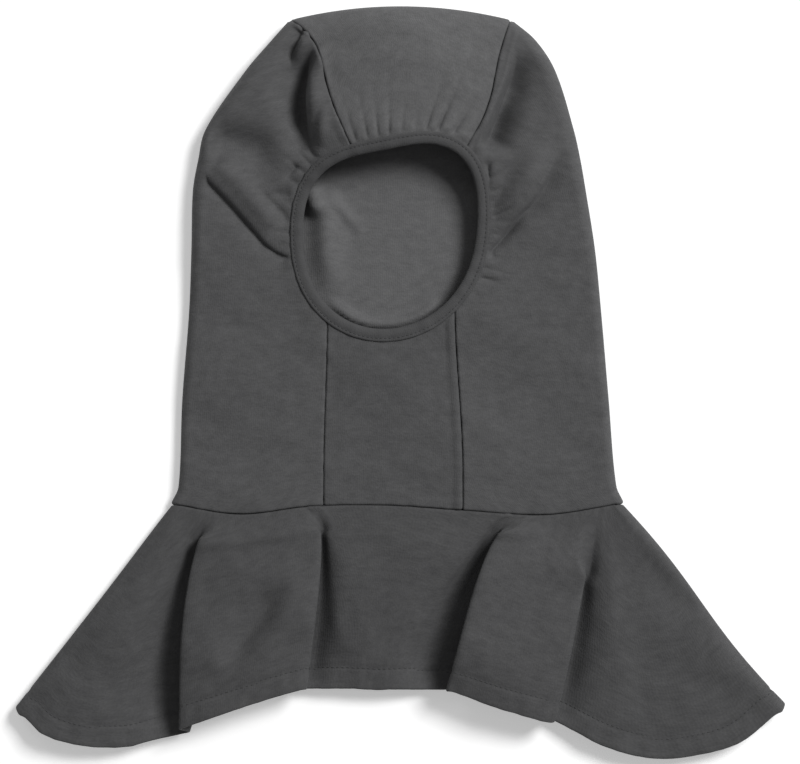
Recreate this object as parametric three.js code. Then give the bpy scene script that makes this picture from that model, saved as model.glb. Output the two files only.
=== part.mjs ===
// A welder's head cover: a hood of four sewn panels of knitted cloth, a bound face opening and a fluted
// shoulder drape. It lies on its back as it is laid out flat, with the face opening up.
// Millimetres: +Y runs from the hem to the crown, +Z up from the surface that it lies on.
import * as THREE from "three";

// Driving dimensions.
const CLOTH = 1.2; // one layer of knitted cloth
const HALF = CLOTH / 2;
const SEAM_GAP = 0.8; // groove between two sewn panels
const INSET = SEAM_GAP / 2;
const NECK_Y = -82; // seam between hood and drape
const CROWN_Y = 243.5; // top of the crown's fold
const CROWN_SAG = 8.5; // fall of the crown's fold from its middle to its corners
const CORNER_X = 71.5; // corner of the crown, where its side seams cross the fold
const CORNER_GAP = 1.6; // side panels stop this far below the corner
const CROWN_FOLD = 17; // depth of the crown's rounded fold
const BACK_SEAM_NECK_X = 64; // back seams at the neck

// The face opening is a skewed ellipse, whose top leans to +X, with two rounded corners above. Angles round
// it are in degrees from +X. grow, spread: how far a corner stands out, and over what angle.
const FACE = { x: -7, y: 90, width: 109, height: 111.5, lean: 4 };
const FACE_CORNERS = [
  { angle: 54.5, grow: 14.5, spread: 32 },
  { angle: 138, grow: 9, spread: 31 },
];
// Binding folded over the panels' edge. edge: how far the panels stop outside the opening.
const BINDING = { width: 8.5, leg: 1, slack: 0.5, edge: 2, nose: 0.4 };
const BOUND_FLAT = 6; // cloth that the binding keeps flat beyond its own edge
// Least width of a side panel's first strip, and the step by which it widens to the binding's edge.
const LEAST_BOUND = 5;
const BOUND_STEP = 0.5;
// Gathers above the opening. start, rise: how far below its middle they begin, and how soon they are full.
const GATHER = { height: 1.1, pitch: 11, reach: 20, start: 45, rise: 40 };

// Angles round the face opening where the panels' seams meet its edge.
const SEAM_ANGLE = { crownRight: 51.5, crownLeft: 115, throatLeft: 228.5, throatRight: 322 };
// Sideways bow of the crown's front seams. at: share of the seam from the opening where it is widest.
const CROWN_BOW = { left: { by: 8.5, at: 0.8 }, right: { by: 5, at: 0.35 } };
const BOW_SHARPNESS = 5;
const THROAT_NECK_X = { left: -50, right: 40.5 };
const THROAT_BEND = 1.2; // above 1, the throat's seams run straight before they reach the neck
const RIM_EASE = { crown: 2, throat: 1.5 }; // above 1, columns of cloth leave the opening's curve sooner

// The hood from crown to neck. left, right: flat outline. rise: height of the front layer's middle.
// fold: height of the rounded fold at each side.
const HOOD = [
  { y: 235, left: -71.5, right: 71.5, rise: 22, fold: 16 },
  { y: 222, left: -83, right: 87, rise: 26, fold: 17 },
  { y: 202, left: -100, right: 100, rise: 31, fold: 18 },
  { y: 164, left: -126, right: 112, rise: 33, fold: 18 },
  { y: 144, left: -131, right: 116.5, rise: 28, fold: 17 },
  { y: 124, left: -134.5, right: 120, rise: 21, fold: 15 },
  { y: 86, left: -135.5, right: 126, rise: 15.5, fold: 13 },
  { y: 46, left: -137, right: 130, rise: 15.5, fold: 12 },
  { y: -12, left: -141.5, right: 135, rise: 13.5, fold: 11 },
  { y: -70, left: -144, right: 140, rise: 13, fold: 10.5 },
  { y: NECK_Y, left: -149, right: 145, rise: 13, fold: 10 },
];

// Creases of the front layer, each from one point to another. depth: fall along the line. lip: rise of
// the cloth that rolls over beside it, on the left of the way from first point to second.
const CREASES = [
  { x1: -59, y1: 140, x2: -61, y2: 218, depth: 9, lip: 1.5, width: 5.5 }, // beside the crown's left seam
  { x1: -64, y1: 227, x2: -75, y2: 204, depth: 4, lip: 3, width: 5 }, // short fold at the left corner
  { x1: -126, y1: 133, x2: -70, y2: 79, depth: 3, lip: 4, width: 6 }, // long fold on the left cheek
  { x1: 56, y1: 82, x2: 107, y2: 153, depth: 2.5, lip: 4.5, width: 6 }, // long fold on the right cheek
  { x1: 55, y1: 152, x2: 76, y2: 216, depth: 7, lip: 1.5, width: 7 }, // beside the crown's right seam
];
const CREASE_FADE = { start: 0.25, end: 0.18 }; // shares of its length
const CREASE_LIP = { aside: 1.7, spread: 1.4 }; // in widths of the crease

// The drape. lie: height of its front layer at the hem. hem: depth of the turned hem. hemStep: width of
// the step where it begins. hemCloth: its added cloth.
const DRAPE = { lie: 13.5, hem: 13, hemStep: 2, hemCloth: 0.8 };
const WING_TIP = { left: { x: -249.5, y: -217.5 }, right: { x: 249.5, y: -215.5 } };
const TIP_ROUND = 6; // how far the hem rises round a wing's tip
const WING_WAVE = { left: 0, right: 2.2 }; // how far a wing's side runs out on its way down, and then in

// Ribs of the drape's flat cloth, each a line from the neck seam to the hem. rise, lift: how far it stands
// above its straight way, halfway down and at the hem.
const LEFT_WING = [
  { neckX: -142, hemX: -232, hemY: -227.5, rise: 2, lift: 5 },
  { neckX: -139.5, hemX: -205, hemY: -235.5, rise: 2, lift: 4 },
];
const MIDDLE = { neckX: -5, hemX: -16, hemY: -199.3, rise: 3 };
const RIGHT_WING = [
  { neckX: 137.7, hemX: 168, hemY: -244 },
  { neckX: 138.4, hemX: 218, hemY: -234.5 },
];
// Ribs of the back layer: where the neck's and the hem's width is met, as shares from right to left.
const BACK = [
  { neck: 0.18, hem: 0.12, hemY: -225 },
  { neck: 0.33, hem: 0.3, hemY: -212 },
  { neck: 0.5, hem: 0.5, hemY: -194.5 },
  { neck: 0.67, hem: 0.7, hemY: -204 },
  { neck: 0.82, hem: 0.88, hemY: -222 },
];

// Standing flutes of the drape. Each edge runs from the neck to its end on the hem. footY, shoulderY: hem of
// the cloth at the flute's foot, and where the cloth beside the flute turns down to it. bend: above 1, the
// edge covers its way across early and then runs straight down. bulge: how far it swings to +X on its way.
// angle: turn of the edge in degrees, so that the flute hangs over. long: times more cloth than usual in it.
const FLUTES = [
  {
    left: {
      neckX: -124, hemX: -143, hemY: -223.5, footY: -227.5, shoulderY: -235,
      bend: 3, bulge: 0, angle: 140, long: 1.5,
    },
    right: {
      neckX: -58, hemX: -61, hemY: -198.5, footY: -198.5, shoulderY: -198.5,
      bend: 1, bulge: 7, angle: 115, long: 1,
    },
  },
  {
    left: {
      neckX: 77, hemX: 30, hemY: -199.5, footY: -199.5, shoulderY: -199,
      bend: 1, bulge: -9, angle: 125, long: 1.3,
    },
    right: {
      neckX: 127, hemX: 99.5, hemY: -220, footY: -219, shoulderY: -234,
      bend: 0.85, bulge: 0, angle: 112, long: 1,
    },
  },
];
const BULGE_EARLY = 0.5; // below 1, an edge swings out sooner than halfway down
const FLUTE_CREST = { above: 4, sag: 0.55 }; // rise over its edges, and where its hem's middle lies
// Cloth of a flute's edge at shares of the drape's depth: in each of its two turns, straight between them,
// and how far the cloth beside the flute dips on its way under it.
const FLUTE_EDGE = [
  { share: 0, turn: 2.5, straight: 2, sink: 0 },
  { share: 0.3, turn: 4, straight: 10, sink: 5.5 },
  { share: 0.65, turn: 5.5, straight: 16, sink: 8 },
  { share: 0.86, turn: 6, straight: 13, sink: 8 },
  { share: 1, turn: 6, straight: 6, sink: 3 },
];
// full: share of the drape's depth where an edge's angle is reached. least: share of the angle that is left
// at the neck, where the cloth is all but flat.
const EDGE_TURN = { full: 0.3, least: 0.001 };
// The valley beside each edge of a flute, from where the cloth turns down to its deepest line. out: share of
// the valley's width from the flute's foot. sink: share of its depth.
const VALLEY = {
  left: [{ out: 1.1, sink: 0 }, { out: 0.5, sink: 1 }],
  right: [{ out: 1.05, sink: -0.15 }, { out: 0.2, sink: 1 }],
};
const VALLEY_WIDTH = { neck: 5, hem: 27, full: 0.85 }; // full: share of the depth where it is widest

// Grid steps of the faceted walls.
const CROWN_STEPS = { across: 18, front: 9, fold: 6, back: 6 };
const SIDE_ROWS = { neck: 5, rim: 20, crown: 8 };
const SIDE_COLUMNS = { bound: 2, front: 7, fold: 6, back: 2 };
const SIDE_SHARE = { bound: 0.25, fold: 0.6 }; // most of a side's width that its strips take
const THROAT_STEPS = { across: 10, down: 8, crowding: 1.6 };
const BINDING_STEPS = 48;
const DRAPE_STEPS = { perRib: 2, down: 6, sideFold: 4 };

const lerp = (a, b, t) => a + (b - a) * t;
const clamp01 = (t) => Math.min(1, Math.max(0, t));
const smooth = (t) => clamp01(t) ** 2 * (3 - 2 * clamp01(t));
const steps = (count, from = 0, to = 1) =>
  Array.from({ length: count + 1 }, (_, i) => lerp(from, to, i / count));

// One column of a table at a place between its rows, on a smooth curve through them.
function columnAt(rows, key, name, place) {
  const last = rows.length - 1;
  const isFalling = rows[0][key] > rows[last][key];
  const beyond = rows.findIndex((row) => (isFalling ? row[key] < place : row[key] > place));
  const i = beyond < 0 ? last - 1 : Math.max(beyond - 1, 0);
  const slope = (k) => {
    const a = rows[Math.max(k - 1, 0)];
    const b = rows[Math.min(k + 1, last)];
    return (b[name] - a[name]) / (b[key] - a[key]);
  };
  const span = rows[i + 1][key] - rows[i][key];
  const t = clamp01((place - rows[i][key]) / span);
  const bend = slope(i) * (1 - t) - slope(i + 1) * t;
  return lerp(rows[i][name], rows[i + 1][name], smooth(t)) + bend * span * t * (1 - t);
}
const hoodColumn = (name, y) => columnAt(HOOD, "y", name, y);
const edgeColumn = (name, share) => columnAt(FLUTE_EDGE, "share", name, share);

// How far the face opening's corners stand out of its ellipse at an angle.
function cornerGrow(degrees) {
  const away = (angle) => THREE.MathUtils.euclideanModulo(degrees - angle + 180, 360) - 180;
  return FACE_CORNERS.reduce((sum, c) => sum + c.grow * Math.exp(-((away(c.angle) / c.spread) ** 2)), 0);
}

// The face opening's edge, grown outwards by a distance, at an angle in degrees.
function facePoint(degrees, grow) {
  const a = THREE.MathUtils.degToRad(degrees);
  const out = grow + cornerGrow(degrees);
  const x = FACE.x + (FACE.width / 2 + out) * Math.cos(a) + FACE.lean * Math.sin(a);
  const y = FACE.y + (FACE.height / 2 + out) * Math.sin(a);
  return { x, y };
}

// Distance of a point outside the face opening, measured along the ray from its middle.
function fromFace(x, y) {
  const up = (y - FACE.y) / (FACE.height / 2);
  const across = (x - FACE.x - FACE.lean * up) / (FACE.width / 2);
  const degrees = THREE.MathUtils.radToDeg(Math.atan2(up, across));
  return (Math.hypot(up, across) - 1) * FACE.height / 2 - cornerGrow(degrees);
}

// Share of a crease or gather that shows at a point: none in the binding, all of it a little way out.
const freeOfBinding = (x, y) => smooth((fromFace(x, y) - BINDING.width) / BOUND_FLAT);

// Height of one crease at a point: a valley with the cloth rolled up on its left side.
function creaseHeight(c, x, y) {
  const dx = c.x2 - c.x1;
  const dy = c.y2 - c.y1;
  const length = Math.hypot(dx, dy);
  const t = ((x - c.x1) * dx + (y - c.y1) * dy) / length ** 2;
  const aside = ((y - c.y1) * dx - (x - c.x1) * dy) / length / c.width;
  const fade = smooth(t / CREASE_FADE.start) * smooth((1 - t) / CREASE_FADE.end) * freeOfBinding(x, y);
  const lip = c.lip * Math.exp(-((aside - CREASE_LIP.aside) ** 2) / CREASE_LIP.spread);
  return fade * (lip - c.depth * Math.exp(-(aside ** 2)));
}

// Gathers that the elastic binding pulls into the cloth round the upper half of the opening.
function gatherHeight(x, y) {
  const out = fromFace(x, y) - BINDING.width;
  const angle = Math.atan2(y - FACE.y, x - FACE.x);
  const above = smooth((y - FACE.y + GATHER.start) / GATHER.rise);
  const share = above * freeOfBinding(x, y) * Math.exp(-out / GATHER.reach);
  const count = Math.round((Math.PI * FACE.width) / GATHER.pitch);
  return GATHER.height * share * Math.cos(angle * count);
}

// Middle of the front layer's cloth before its folded edges are rounded.
function frontHeight(x, y) {
  const fold = hoodColumn("fold", y);
  const left = hoodColumn("left", y) + fold / 2;
  const right = hoodColumn("right", y) - fold / 2;
  const across = clamp01((x - left) / (right - left)) * 2 - 1;
  const dome = Math.cos((across * Math.PI) / 2) ** 2;
  const creases = CREASES.reduce((sum, c) => sum + creaseHeight(c, x, y), 0);
  return fold + (hoodColumn("rise", y) - fold) * dome + creases + gatherHeight(x, y);
}

const crownTop = (x) => CROWN_Y - CROWN_SAG * (x / CORNER_X) ** 2;
const quarter = (share) => Math.sqrt(1 - (1 - clamp01(share)) ** 2);

// Middle of the cloth at a point of the outline, on the front layer or on the back that lies flat.
function hoodPoint(x, y, isFront) {
  const fold = hoodColumn("fold", y);
  const toSide = Math.min(x - hoodColumn("left", y), hoodColumn("right", y) - x);
  const round = quarter(toSide / (fold / 2)) * quarter((crownTop(x) - y) / CROWN_FOLD);
  const layer = isFront ? frontHeight(x, y) : HALF;
  return new THREE.Vector3(x, y, lerp(fold / 2, layer, round));
}

// Seam lines, as x at a height: the crown's front seams and the two seams down the back.
const crownSeamFoot = (side) => facePoint(SEAM_ANGLE[side > 0 ? "crownRight" : "crownLeft"], BINDING.edge);
function crownSeamX(side, y) {
  const foot = crownSeamFoot(side);
  const t = clamp01((y - foot.y) / (crownTop(CORNER_X) - foot.y));
  const { by, at } = side > 0 ? CROWN_BOW.right : CROWN_BOW.left;
  const shape = (t / at) ** (BOW_SHARPNESS * at) * ((1 - t) / (1 - at)) ** (BOW_SHARPNESS * (1 - at));
  return lerp(foot.x, side * CORNER_X, t) + by * shape;
}
const throatSeamTop = (side) => facePoint(SEAM_ANGLE[side > 0 ? "throatRight" : "throatLeft"], BINDING.edge);
function throatSeamX(side, y) {
  const top = throatSeamTop(side);
  const neckX = side > 0 ? THROAT_NECK_X.right : THROAT_NECK_X.left;
  return lerp(top.x, neckX, smooth((THROAT_BEND * (top.y - y)) / (top.y - NECK_Y)));
}
function backSeamX(side, y) {
  return side * lerp(BACK_SEAM_NECK_X, CORNER_X, clamp01((y - NECK_Y) / (crownTop(CORNER_X) - NECK_Y)));
}

// A closed wall of cloth about a grid of points on its middle. Rows run along u, and each row holds the
// same count of points along v. isRing joins the last row to the first. inner gives the wall's depth on
// the inside at a column, where a hem is doubled.
function clothWall(grid, { isRing = false, inner = () => HALF } = {}) {
  const rows = grid.length;
  const columns = grid[0].length;
  const row = (i) => (isRing ? grid[(i + rows) % rows] : grid[Math.min(Math.max(i, 0), rows - 1)]);
  const outside = [];
  const inside = [];
  for (let i = 0; i < rows; i++) {
    for (let j = 0; j < columns; j++) {
      const along = row(i + 1)[j].clone().sub(row(i - 1)[j]);
      const down = grid[i][Math.min(j + 1, columns - 1)].clone().sub(grid[i][Math.max(j - 1, 0)]);
      const normal = along.cross(down).normalize();
      outside.push(grid[i][j].clone().addScaledVector(normal, HALF));
      inside.push(grid[i][j].clone().addScaledVector(normal, -inner(j)));
    }
  }
  const index = [];
  const quad = (a, b, c, d) => index.push(a, b, c, a, c, d);
  const top = (i, j) => (i % rows) * columns + j;
  const under = (i, j) => rows * columns + top(i, j);
  const spans = isRing ? rows : rows - 1;
  for (let i = 0; i < spans; i++) {
    for (let j = 0; j < columns - 1; j++) {
      quad(top(i, j), top(i + 1, j), top(i + 1, j + 1), top(i, j + 1));
      quad(under(i, j), under(i, j + 1), under(i + 1, j + 1), under(i + 1, j));
    }
    const end = columns - 1;
    quad(top(i, 0), under(i, 0), under(i + 1, 0), top(i + 1, 0));
    quad(top(i, end), top(i + 1, end), under(i + 1, end), under(i, end));
  }
  if (!isRing) {
    const end = rows - 1;
    for (let j = 0; j < columns - 1; j++) {
      quad(top(0, j), top(0, j + 1), under(0, j + 1), under(0, j));
      quad(top(end, j), under(end, j), under(end, j + 1), top(end, j + 1));
    }
  }
  return bufferGeometry([...outside, ...inside], index);
}

function bufferGeometry(points, index) {
  const geometry = new THREE.BufferGeometry().setFromPoints(points);
  geometry.setIndex(index);
  geometry.computeVertexNormals();
  return geometry;
}

// Crown panel: a strip from the face opening over the crown and down the back to the neck.
function crownPanel() {
  const grid = steps(CROWN_STEPS.across).map((u) => {
    const foot = facePoint(lerp(SEAM_ANGLE.crownLeft, SEAM_ANGLE.crownRight, u), BINDING.edge);
    const across = (left, right) => lerp(left + INSET, right - INSET, u);
    const frontX = (y) => across(crownSeamX(-1, y), crownSeamX(1, y));
    const topX = across(-CORNER_X, CORNER_X);
    const brow = crownTop(topX) - CROWN_FOLD;
    const aside = foot.x + lerp(INSET, -INSET, u) - frontX(foot.y);
    const front = steps(CROWN_STEPS.front).map((t) => {
      const y = lerp(foot.y, brow, t);
      return hoodPoint(frontX(y) + aside * (1 - smooth(t * RIM_EASE.crown)), y, true);
    });
    const over = steps(CROWN_STEPS.fold, 0, Math.PI).slice(1, -1).map((a) => {
      const y = brow + CROWN_FOLD * Math.sin(a);
      const x = a < Math.PI / 2 ? frontX(y) : across(backSeamX(-1, y), backSeamX(1, y));
      return hoodPoint(x, y, a < Math.PI / 2);
    });
    const back = steps(CROWN_STEPS.back).map((t) => {
      const y = lerp(brow, NECK_Y + INSET, t);
      return hoodPoint(across(backSeamX(-1, y), backSeamX(1, y)), y, false);
    });
    return [...front, ...over, ...back];
  });
  return clothWall(grid);
}

// Throat panel: from the face opening down the front of the neck.
function throatPanel() {
  const grid = steps(THROAT_STEPS.across).map((u) => {
    const rim = facePoint(lerp(SEAM_ANGLE.throatLeft, SEAM_ANGLE.throatRight, u), BINDING.edge);
    const seamX = (y) => lerp(throatSeamX(-1, y) + INSET, throatSeamX(1, y) - INSET, u);
    const aside = rim.x + lerp(INSET, -INSET, u) - seamX(rim.y);
    return steps(THROAT_STEPS.down).map((t) => {
      const y = lerp(rim.y, NECK_Y + INSET, t ** THROAT_STEPS.crowding);
      return hoodPoint(seamX(y) + aside * (1 - smooth(t * RIM_EASE.throat)), y, true);
    });
  });
  return clothWall(grid.reverse());
}

// Inner edge of a side panel by height: throat seam, then the face opening's edge, then crown seam.
function sidePanelRows(side) {
  const throat = side > 0 ? SEAM_ANGLE.throatRight : SEAM_ANGLE.throatLeft;
  const crown = side > 0 ? SEAM_ANGLE.crownRight + 360 : SEAM_ANGLE.crownLeft;
  const neckRows = steps(SIDE_ROWS.neck, NECK_Y + INSET, throatSeamTop(side).y).slice(0, -1);
  const rimRows = steps(SIDE_ROWS.rim, throat, crown).map((angle) => facePoint(angle, BINDING.edge));
  const crownRows = steps(SIDE_ROWS.crown, crownSeamFoot(side).y, crownTop(CORNER_X) - CORNER_GAP).slice(1);
  const rows = [
    ...neckRows.map((y) => ({ y, x: throatSeamX(side, y) })),
    ...rimRows,
    ...crownRows.map((y) => ({ y, x: crownSeamX(side, y) })),
  ];
  return rows.map(({ x, y }) => ({ x: x + side * INSET, y }));
}

// Width of a side panel's cloth that the binding covers at a height, from its inner edge outwards.
function boundWidth(side, y, innerX) {
  let width = LEAST_BOUND;
  while (fromFace(innerX + side * width, y) < BINDING.width + SEAM_GAP) width += BOUND_STEP;
  return width;
}

// Side panel: from its front seams and the face opening round the side fold to the seam down the back.
function sidePanel(side) {
  const grid = sidePanelRows(side).map(({ y, x }) => {
    const edge = hoodColumn(side > 0 ? "right" : "left", y);
    const radius = hoodColumn("fold", y) / 2;
    const backX = backSeamX(side, y) + side * INSET;
    // Length of cloth from the fold's outermost line to a distance inside it, and the reverse.
    const clothTo = (inward) => (inward < radius
      ? radius * Math.acos(1 - inward / radius)
      : radius * Math.PI / 2 + inward - radius);
    const inwardAt = (cloth) => (Math.abs(cloth) < radius * Math.PI / 2
      ? radius * (1 - Math.cos(cloth / radius))
      : Math.abs(cloth) - radius * Math.PI / 2 + radius);
    const front = clothTo(Math.abs(edge - x));
    const back = clothTo(Math.abs(edge - backX));
    const bend = radius * Math.PI / 2;
    const frontBend = Math.min(bend, front * SIDE_SHARE.fold);
    const backBend = Math.min(bend, back * SIDE_SHARE.fold);
    const bound = Math.min(boundWidth(side, y, x), front * SIDE_SHARE.bound);
    const places = [
      ...steps(SIDE_COLUMNS.bound, -front, bound - front).slice(0, -1),
      ...steps(SIDE_COLUMNS.front, bound - front, -frontBend).slice(0, -1),
      ...steps(SIDE_COLUMNS.fold, -frontBend, backBend),
      ...steps(SIDE_COLUMNS.back, backBend, back).slice(1),
    ];
    return places.map((cloth) => hoodPoint(edge - side * inwardAt(cloth), y, cloth < 0));
  });
  return clothWall(side > 0 ? grid.reverse() : grid);
}

// Binding: a strip folded over the edge of the panels all round the face opening.
function faceBinding() {
  const slot = HALF + BINDING.slack;
  const outer = slot + BINDING.leg;
  const { width, nose } = BINDING;
  const bend = BINDING.edge - BINDING.slack;
  // Folded section: distance out from the opening's edge, height above the panels' middle.
  const section = [
    { out: width, up: slot },
    { out: width, up: outer },
    { out: bend, up: outer },
    { out: nose, up: outer - bend + nose },
    { out: 0, up: 0 },
    { out: nose, up: -outer + bend - nose },
    { out: bend, up: -outer },
    { out: width, up: -outer },
    { out: width, up: -slot },
    { out: bend, up: -slot },
    { out: bend, up: slot },
  ];
  const points = [];
  for (let i = 0; i < BINDING_STEPS; i++) {
    const angle = (360 * i) / BINDING_STEPS;
    for (const { out, up } of section) {
      const { x, y } = facePoint(angle, out);
      points.push(hoodPoint(x, y, true).addScaledVector(frontNormal(x, y), up));
    }
  }
  const index = [];
  const at = (i, j) => (i % BINDING_STEPS) * section.length + (j % section.length);
  for (let i = 0; i < BINDING_STEPS; i++) {
    for (let j = 0; j < section.length; j++) {
      index.push(at(i, j), at(i + 1, j), at(i + 1, j + 1));
      index.push(at(i, j), at(i + 1, j + 1), at(i, j + 1));
    }
  }
  return bufferGeometry(points, index);
}

function frontNormal(x, y) {
  const step = 0.5;
  const slopeX = (frontHeight(x + step, y) - frontHeight(x - step, y)) / (2 * step);
  const slopeY = (frontHeight(x, y + step) - frontHeight(x, y - step)) / (2 * step);
  return new THREE.Vector3(-slopeX, -slopeY, 1).normalize();
}

// A rib of the drape: a line of its cloth from the neck seam to the hem, as a point at each share of it.
function rib({ neckX, isFront = true, hemX, hemY, hemZ = DRAPE.lie, rise = 0, lift = 0 }) {
  const neck = hoodPoint(neckX, NECK_Y, isFront).setY(NECK_Y - INSET);
  const hem = new THREE.Vector3(hemX, hemY, hemZ);
  return (t) => {
    const point = neck.clone().lerp(hem, t);
    point.z += rise * Math.sin(Math.PI * t) + lift * t;
    return point;
  };
}

// Section of a flute's edge at a share of the drape's depth, as points from the flute's foot to its top: the
// cloth turns up by an angle, runs straight and turns level again. Its outermost line is at x = 0.
function edgeSection(t, edge) {
  const most = THREE.MathUtils.degToRad(edge.angle);
  const angle = most * Math.max(smooth(t / EDGE_TURN.full), EDGE_TURN.least);
  const radius = edgeColumn("turn", t) / angle;
  const turned = (share) => new THREE.Vector2(
    radius * Math.sin(angle * share),
    radius * (1 - Math.cos(angle * share)),
  );
  const heading = new THREE.Vector2(Math.cos(angle), Math.sin(angle));
  const middle = turned(1).addScaledVector(heading, (edge.long * edgeColumn("straight", t)) / 2);
  const lower = [turned(0), turned(0.5), turned(1)];
  const upper = lower.map((p) => middle.clone().multiplyScalar(2).sub(p)).reverse();
  const upright = Math.PI / 2;
  const outermost = angle > upright ? radius - 2 * middle.x : (-radius * angle) / upright;
  const aside = new THREE.Vector2(outermost, -edgeColumn("sink", t));
  return [...lower, ...upper].map((p) => p.clone().add(aside));
}

// Section of the valley beside a flute's edge, whose foot is at an x.
function valleySection(t, footX, valley) {
  const width = lerp(VALLEY_WIDTH.neck, VALLEY_WIDTH.hem, smooth(t / VALLEY_WIDTH.full));
  const depth = edgeColumn("sink", t);
  return valley.map(({ out, sink }) => new THREE.Vector2(Math.min(footX, 0) - width * out, -depth * sink));
}

// Ribs of one edge of a flute, from the valley beside it to the flute's top.
function fluteEdgeRibs(edge, inward) {
  const valley = inward > 0 ? VALLEY.left : VALLEY.right;
  const sectionAt = (t) => {
    const section = edgeSection(t, edge);
    return [...valleySection(t, section[0].x, valley), ...section];
  };
  const start = sectionAt(0);
  const top = start.length - 1;
  return start.map((from, k) => {
    const hemY = k < valley.length
      ? lerp(edge.footY, edge.shoulderY, valley[k].out)
      : lerp(edge.footY, edge.hemY, (k - valley.length) / (top - valley.length));
    const flat = rib({ neckX: edge.neckX + inward * from.x, hemX: edge.hemX, hemY });
    return (t) => {
      const { x, y } = sectionAt(t)[k];
      const way = 1 - (1 - t) ** edge.bend;
      const edgeX = lerp(edge.neckX, edge.hemX, way) + edge.bulge * Math.sin(Math.PI * t ** BULGE_EARLY);
      const point = flat(t).setX(edgeX + inward * x);
      point.z += y;
      return point;
    };
  });
}

function fluteRibs({ left, right }) {
  const flat = rib({
    neckX: (left.neckX + right.neckX) / 2,
    hemX: (left.hemX + right.hemX) / 2,
    hemY: lerp(left.hemY, right.hemY, FLUTE_CREST.sag),
  });
  const crest = (t) => {
    const point = flat(t);
    point.z += edgeSection(t, right).at(-1).y + FLUTE_CREST.above * t;
    return point;
  };
  return [...fluteEdgeRibs(left, 1), crest, ...fluteEdgeRibs(right, -1).reverse()];
}

// Ribs of the rounded fold at one side of the drape, from its front layer to its back layer.
function sideFoldRibs(side, tip) {
  const edge = hoodColumn(side > 0 ? "right" : "left", NECK_Y);
  const radius = hoodColumn("fold", NECK_Y) / 2;
  const tipRadius = (DRAPE.lie - HALF) / 2;
  const wave = side > 0 ? WING_WAVE.right : WING_WAVE.left;
  return steps(DRAPE_STEPS.sideFold, 0, Math.PI).map((a) => {
    const straight = rib({
      neckX: edge - side * radius * (1 - Math.sin(a)),
      isFront: a < Math.PI / 2,
      hemX: tip.x - side * tipRadius * (1 - Math.sin(a)),
      hemY: tip.y + TIP_ROUND * Math.sin(a) ** 3,
      hemZ: HALF + tipRadius * (1 + Math.cos(a)),
    });
    return (t) => {
      const point = straight(t);
      point.x += side * wave * Math.sin(2 * Math.PI * t);
      return point;
    };
  });
}

function backRib({ neck, hem, hemY }) {
  const neckX = lerp(hoodColumn("right", NECK_Y), hoodColumn("left", NECK_Y), neck);
  const hemX = lerp(WING_TIP.right.x, WING_TIP.left.x, hem);
  return rib({ neckX, isFront: false, hemX, hemY, hemZ: HALF });
}

// Drape: one ring of cloth from the neck seam to the hem, fluted in front and plain behind.
function shoulderDrape() {
  const ribs = [
    ...sideFoldRibs(-1, WING_TIP.left).reverse(),
    ...LEFT_WING.map(rib),
    ...fluteRibs(FLUTES[0]),
    rib(MIDDLE),
    ...fluteRibs(FLUTES[1]),
    ...RIGHT_WING.map(rib),
    ...sideFoldRibs(1, WING_TIP.right),
    ...BACK.map(backRib),
  ];
  const depth = NECK_Y - MIDDLE.hemY;
  const hemStart = 1 - DRAPE.hem / depth;
  const downs = [...steps(DRAPE_STEPS.down, 0, hemStart), hemStart + DRAPE.hemStep / depth, 1];
  const rings = downs.map((t) => {
    const ring = new THREE.CatmullRomCurve3(ribs.map((at) => at(t)), true, "centripetal");
    return steps(ribs.length * DRAPE_STEPS.perRib).slice(1).map((u) => ring.getPoint(u));
  });
  const grid = rings[0].map((_, i) => rings.map((ring) => ring[i].setZ(Math.max(ring[i].z, HALF))));
  return clothWall(grid.reverse(), {
    isRing: true,
    inner: (j) => (downs[j] > hemStart ? HALF + DRAPE.hemCloth : HALF),
  });
}

const CLOTH_LOOK = { color: 0x4c4c4d, roughness: 0.95, metalness: 0 };
const BINDING_LOOK = { color: 0x4a4a4b, roughness: 0.9, metalness: 0 };

function piece(name, geometry, look) {
  const mesh = new THREE.Mesh(geometry, new THREE.MeshStandardMaterial(look));
  mesh.name = name;
  return mesh;
}

const headCover = new THREE.Group();
headCover.add(
  piece("crown_panel", crownPanel(), CLOTH_LOOK),
  piece("side_panel_left", sidePanel(-1), CLOTH_LOOK),
  piece("side_panel_right", sidePanel(1), CLOTH_LOOK),
  piece("throat_panel", throatPanel(), CLOTH_LOOK),
  piece("face_binding", faceBinding(), BINDING_LOOK),
  piece("shoulder_drape", shoulderDrape(), CLOTH_LOOK),
);

export default headCover;
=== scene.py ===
"""The looks of a welder's head cover: a knitted hood laid on its back, with a bound face opening and a
fluted shoulder drape. Sizes are in millimetres until a mesh is made, which is in metres. +Y runs from the
hem to the crown, +X to the right and +Z up from the floor."""
import math
from collections import namedtuple

import bpy
import numpy as np
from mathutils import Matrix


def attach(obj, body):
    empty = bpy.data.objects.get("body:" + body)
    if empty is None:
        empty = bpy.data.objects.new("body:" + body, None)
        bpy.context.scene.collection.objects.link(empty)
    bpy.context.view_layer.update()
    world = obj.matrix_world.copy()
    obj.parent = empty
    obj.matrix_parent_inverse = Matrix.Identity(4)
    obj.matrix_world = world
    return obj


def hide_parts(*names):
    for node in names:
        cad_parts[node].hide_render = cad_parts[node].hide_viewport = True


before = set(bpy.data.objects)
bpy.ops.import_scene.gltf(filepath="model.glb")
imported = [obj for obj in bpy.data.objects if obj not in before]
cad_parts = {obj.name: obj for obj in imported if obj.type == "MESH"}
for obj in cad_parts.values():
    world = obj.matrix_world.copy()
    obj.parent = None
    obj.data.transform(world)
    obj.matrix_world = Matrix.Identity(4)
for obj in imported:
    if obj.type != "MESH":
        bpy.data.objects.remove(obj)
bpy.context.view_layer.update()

MM = 0.001

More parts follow.
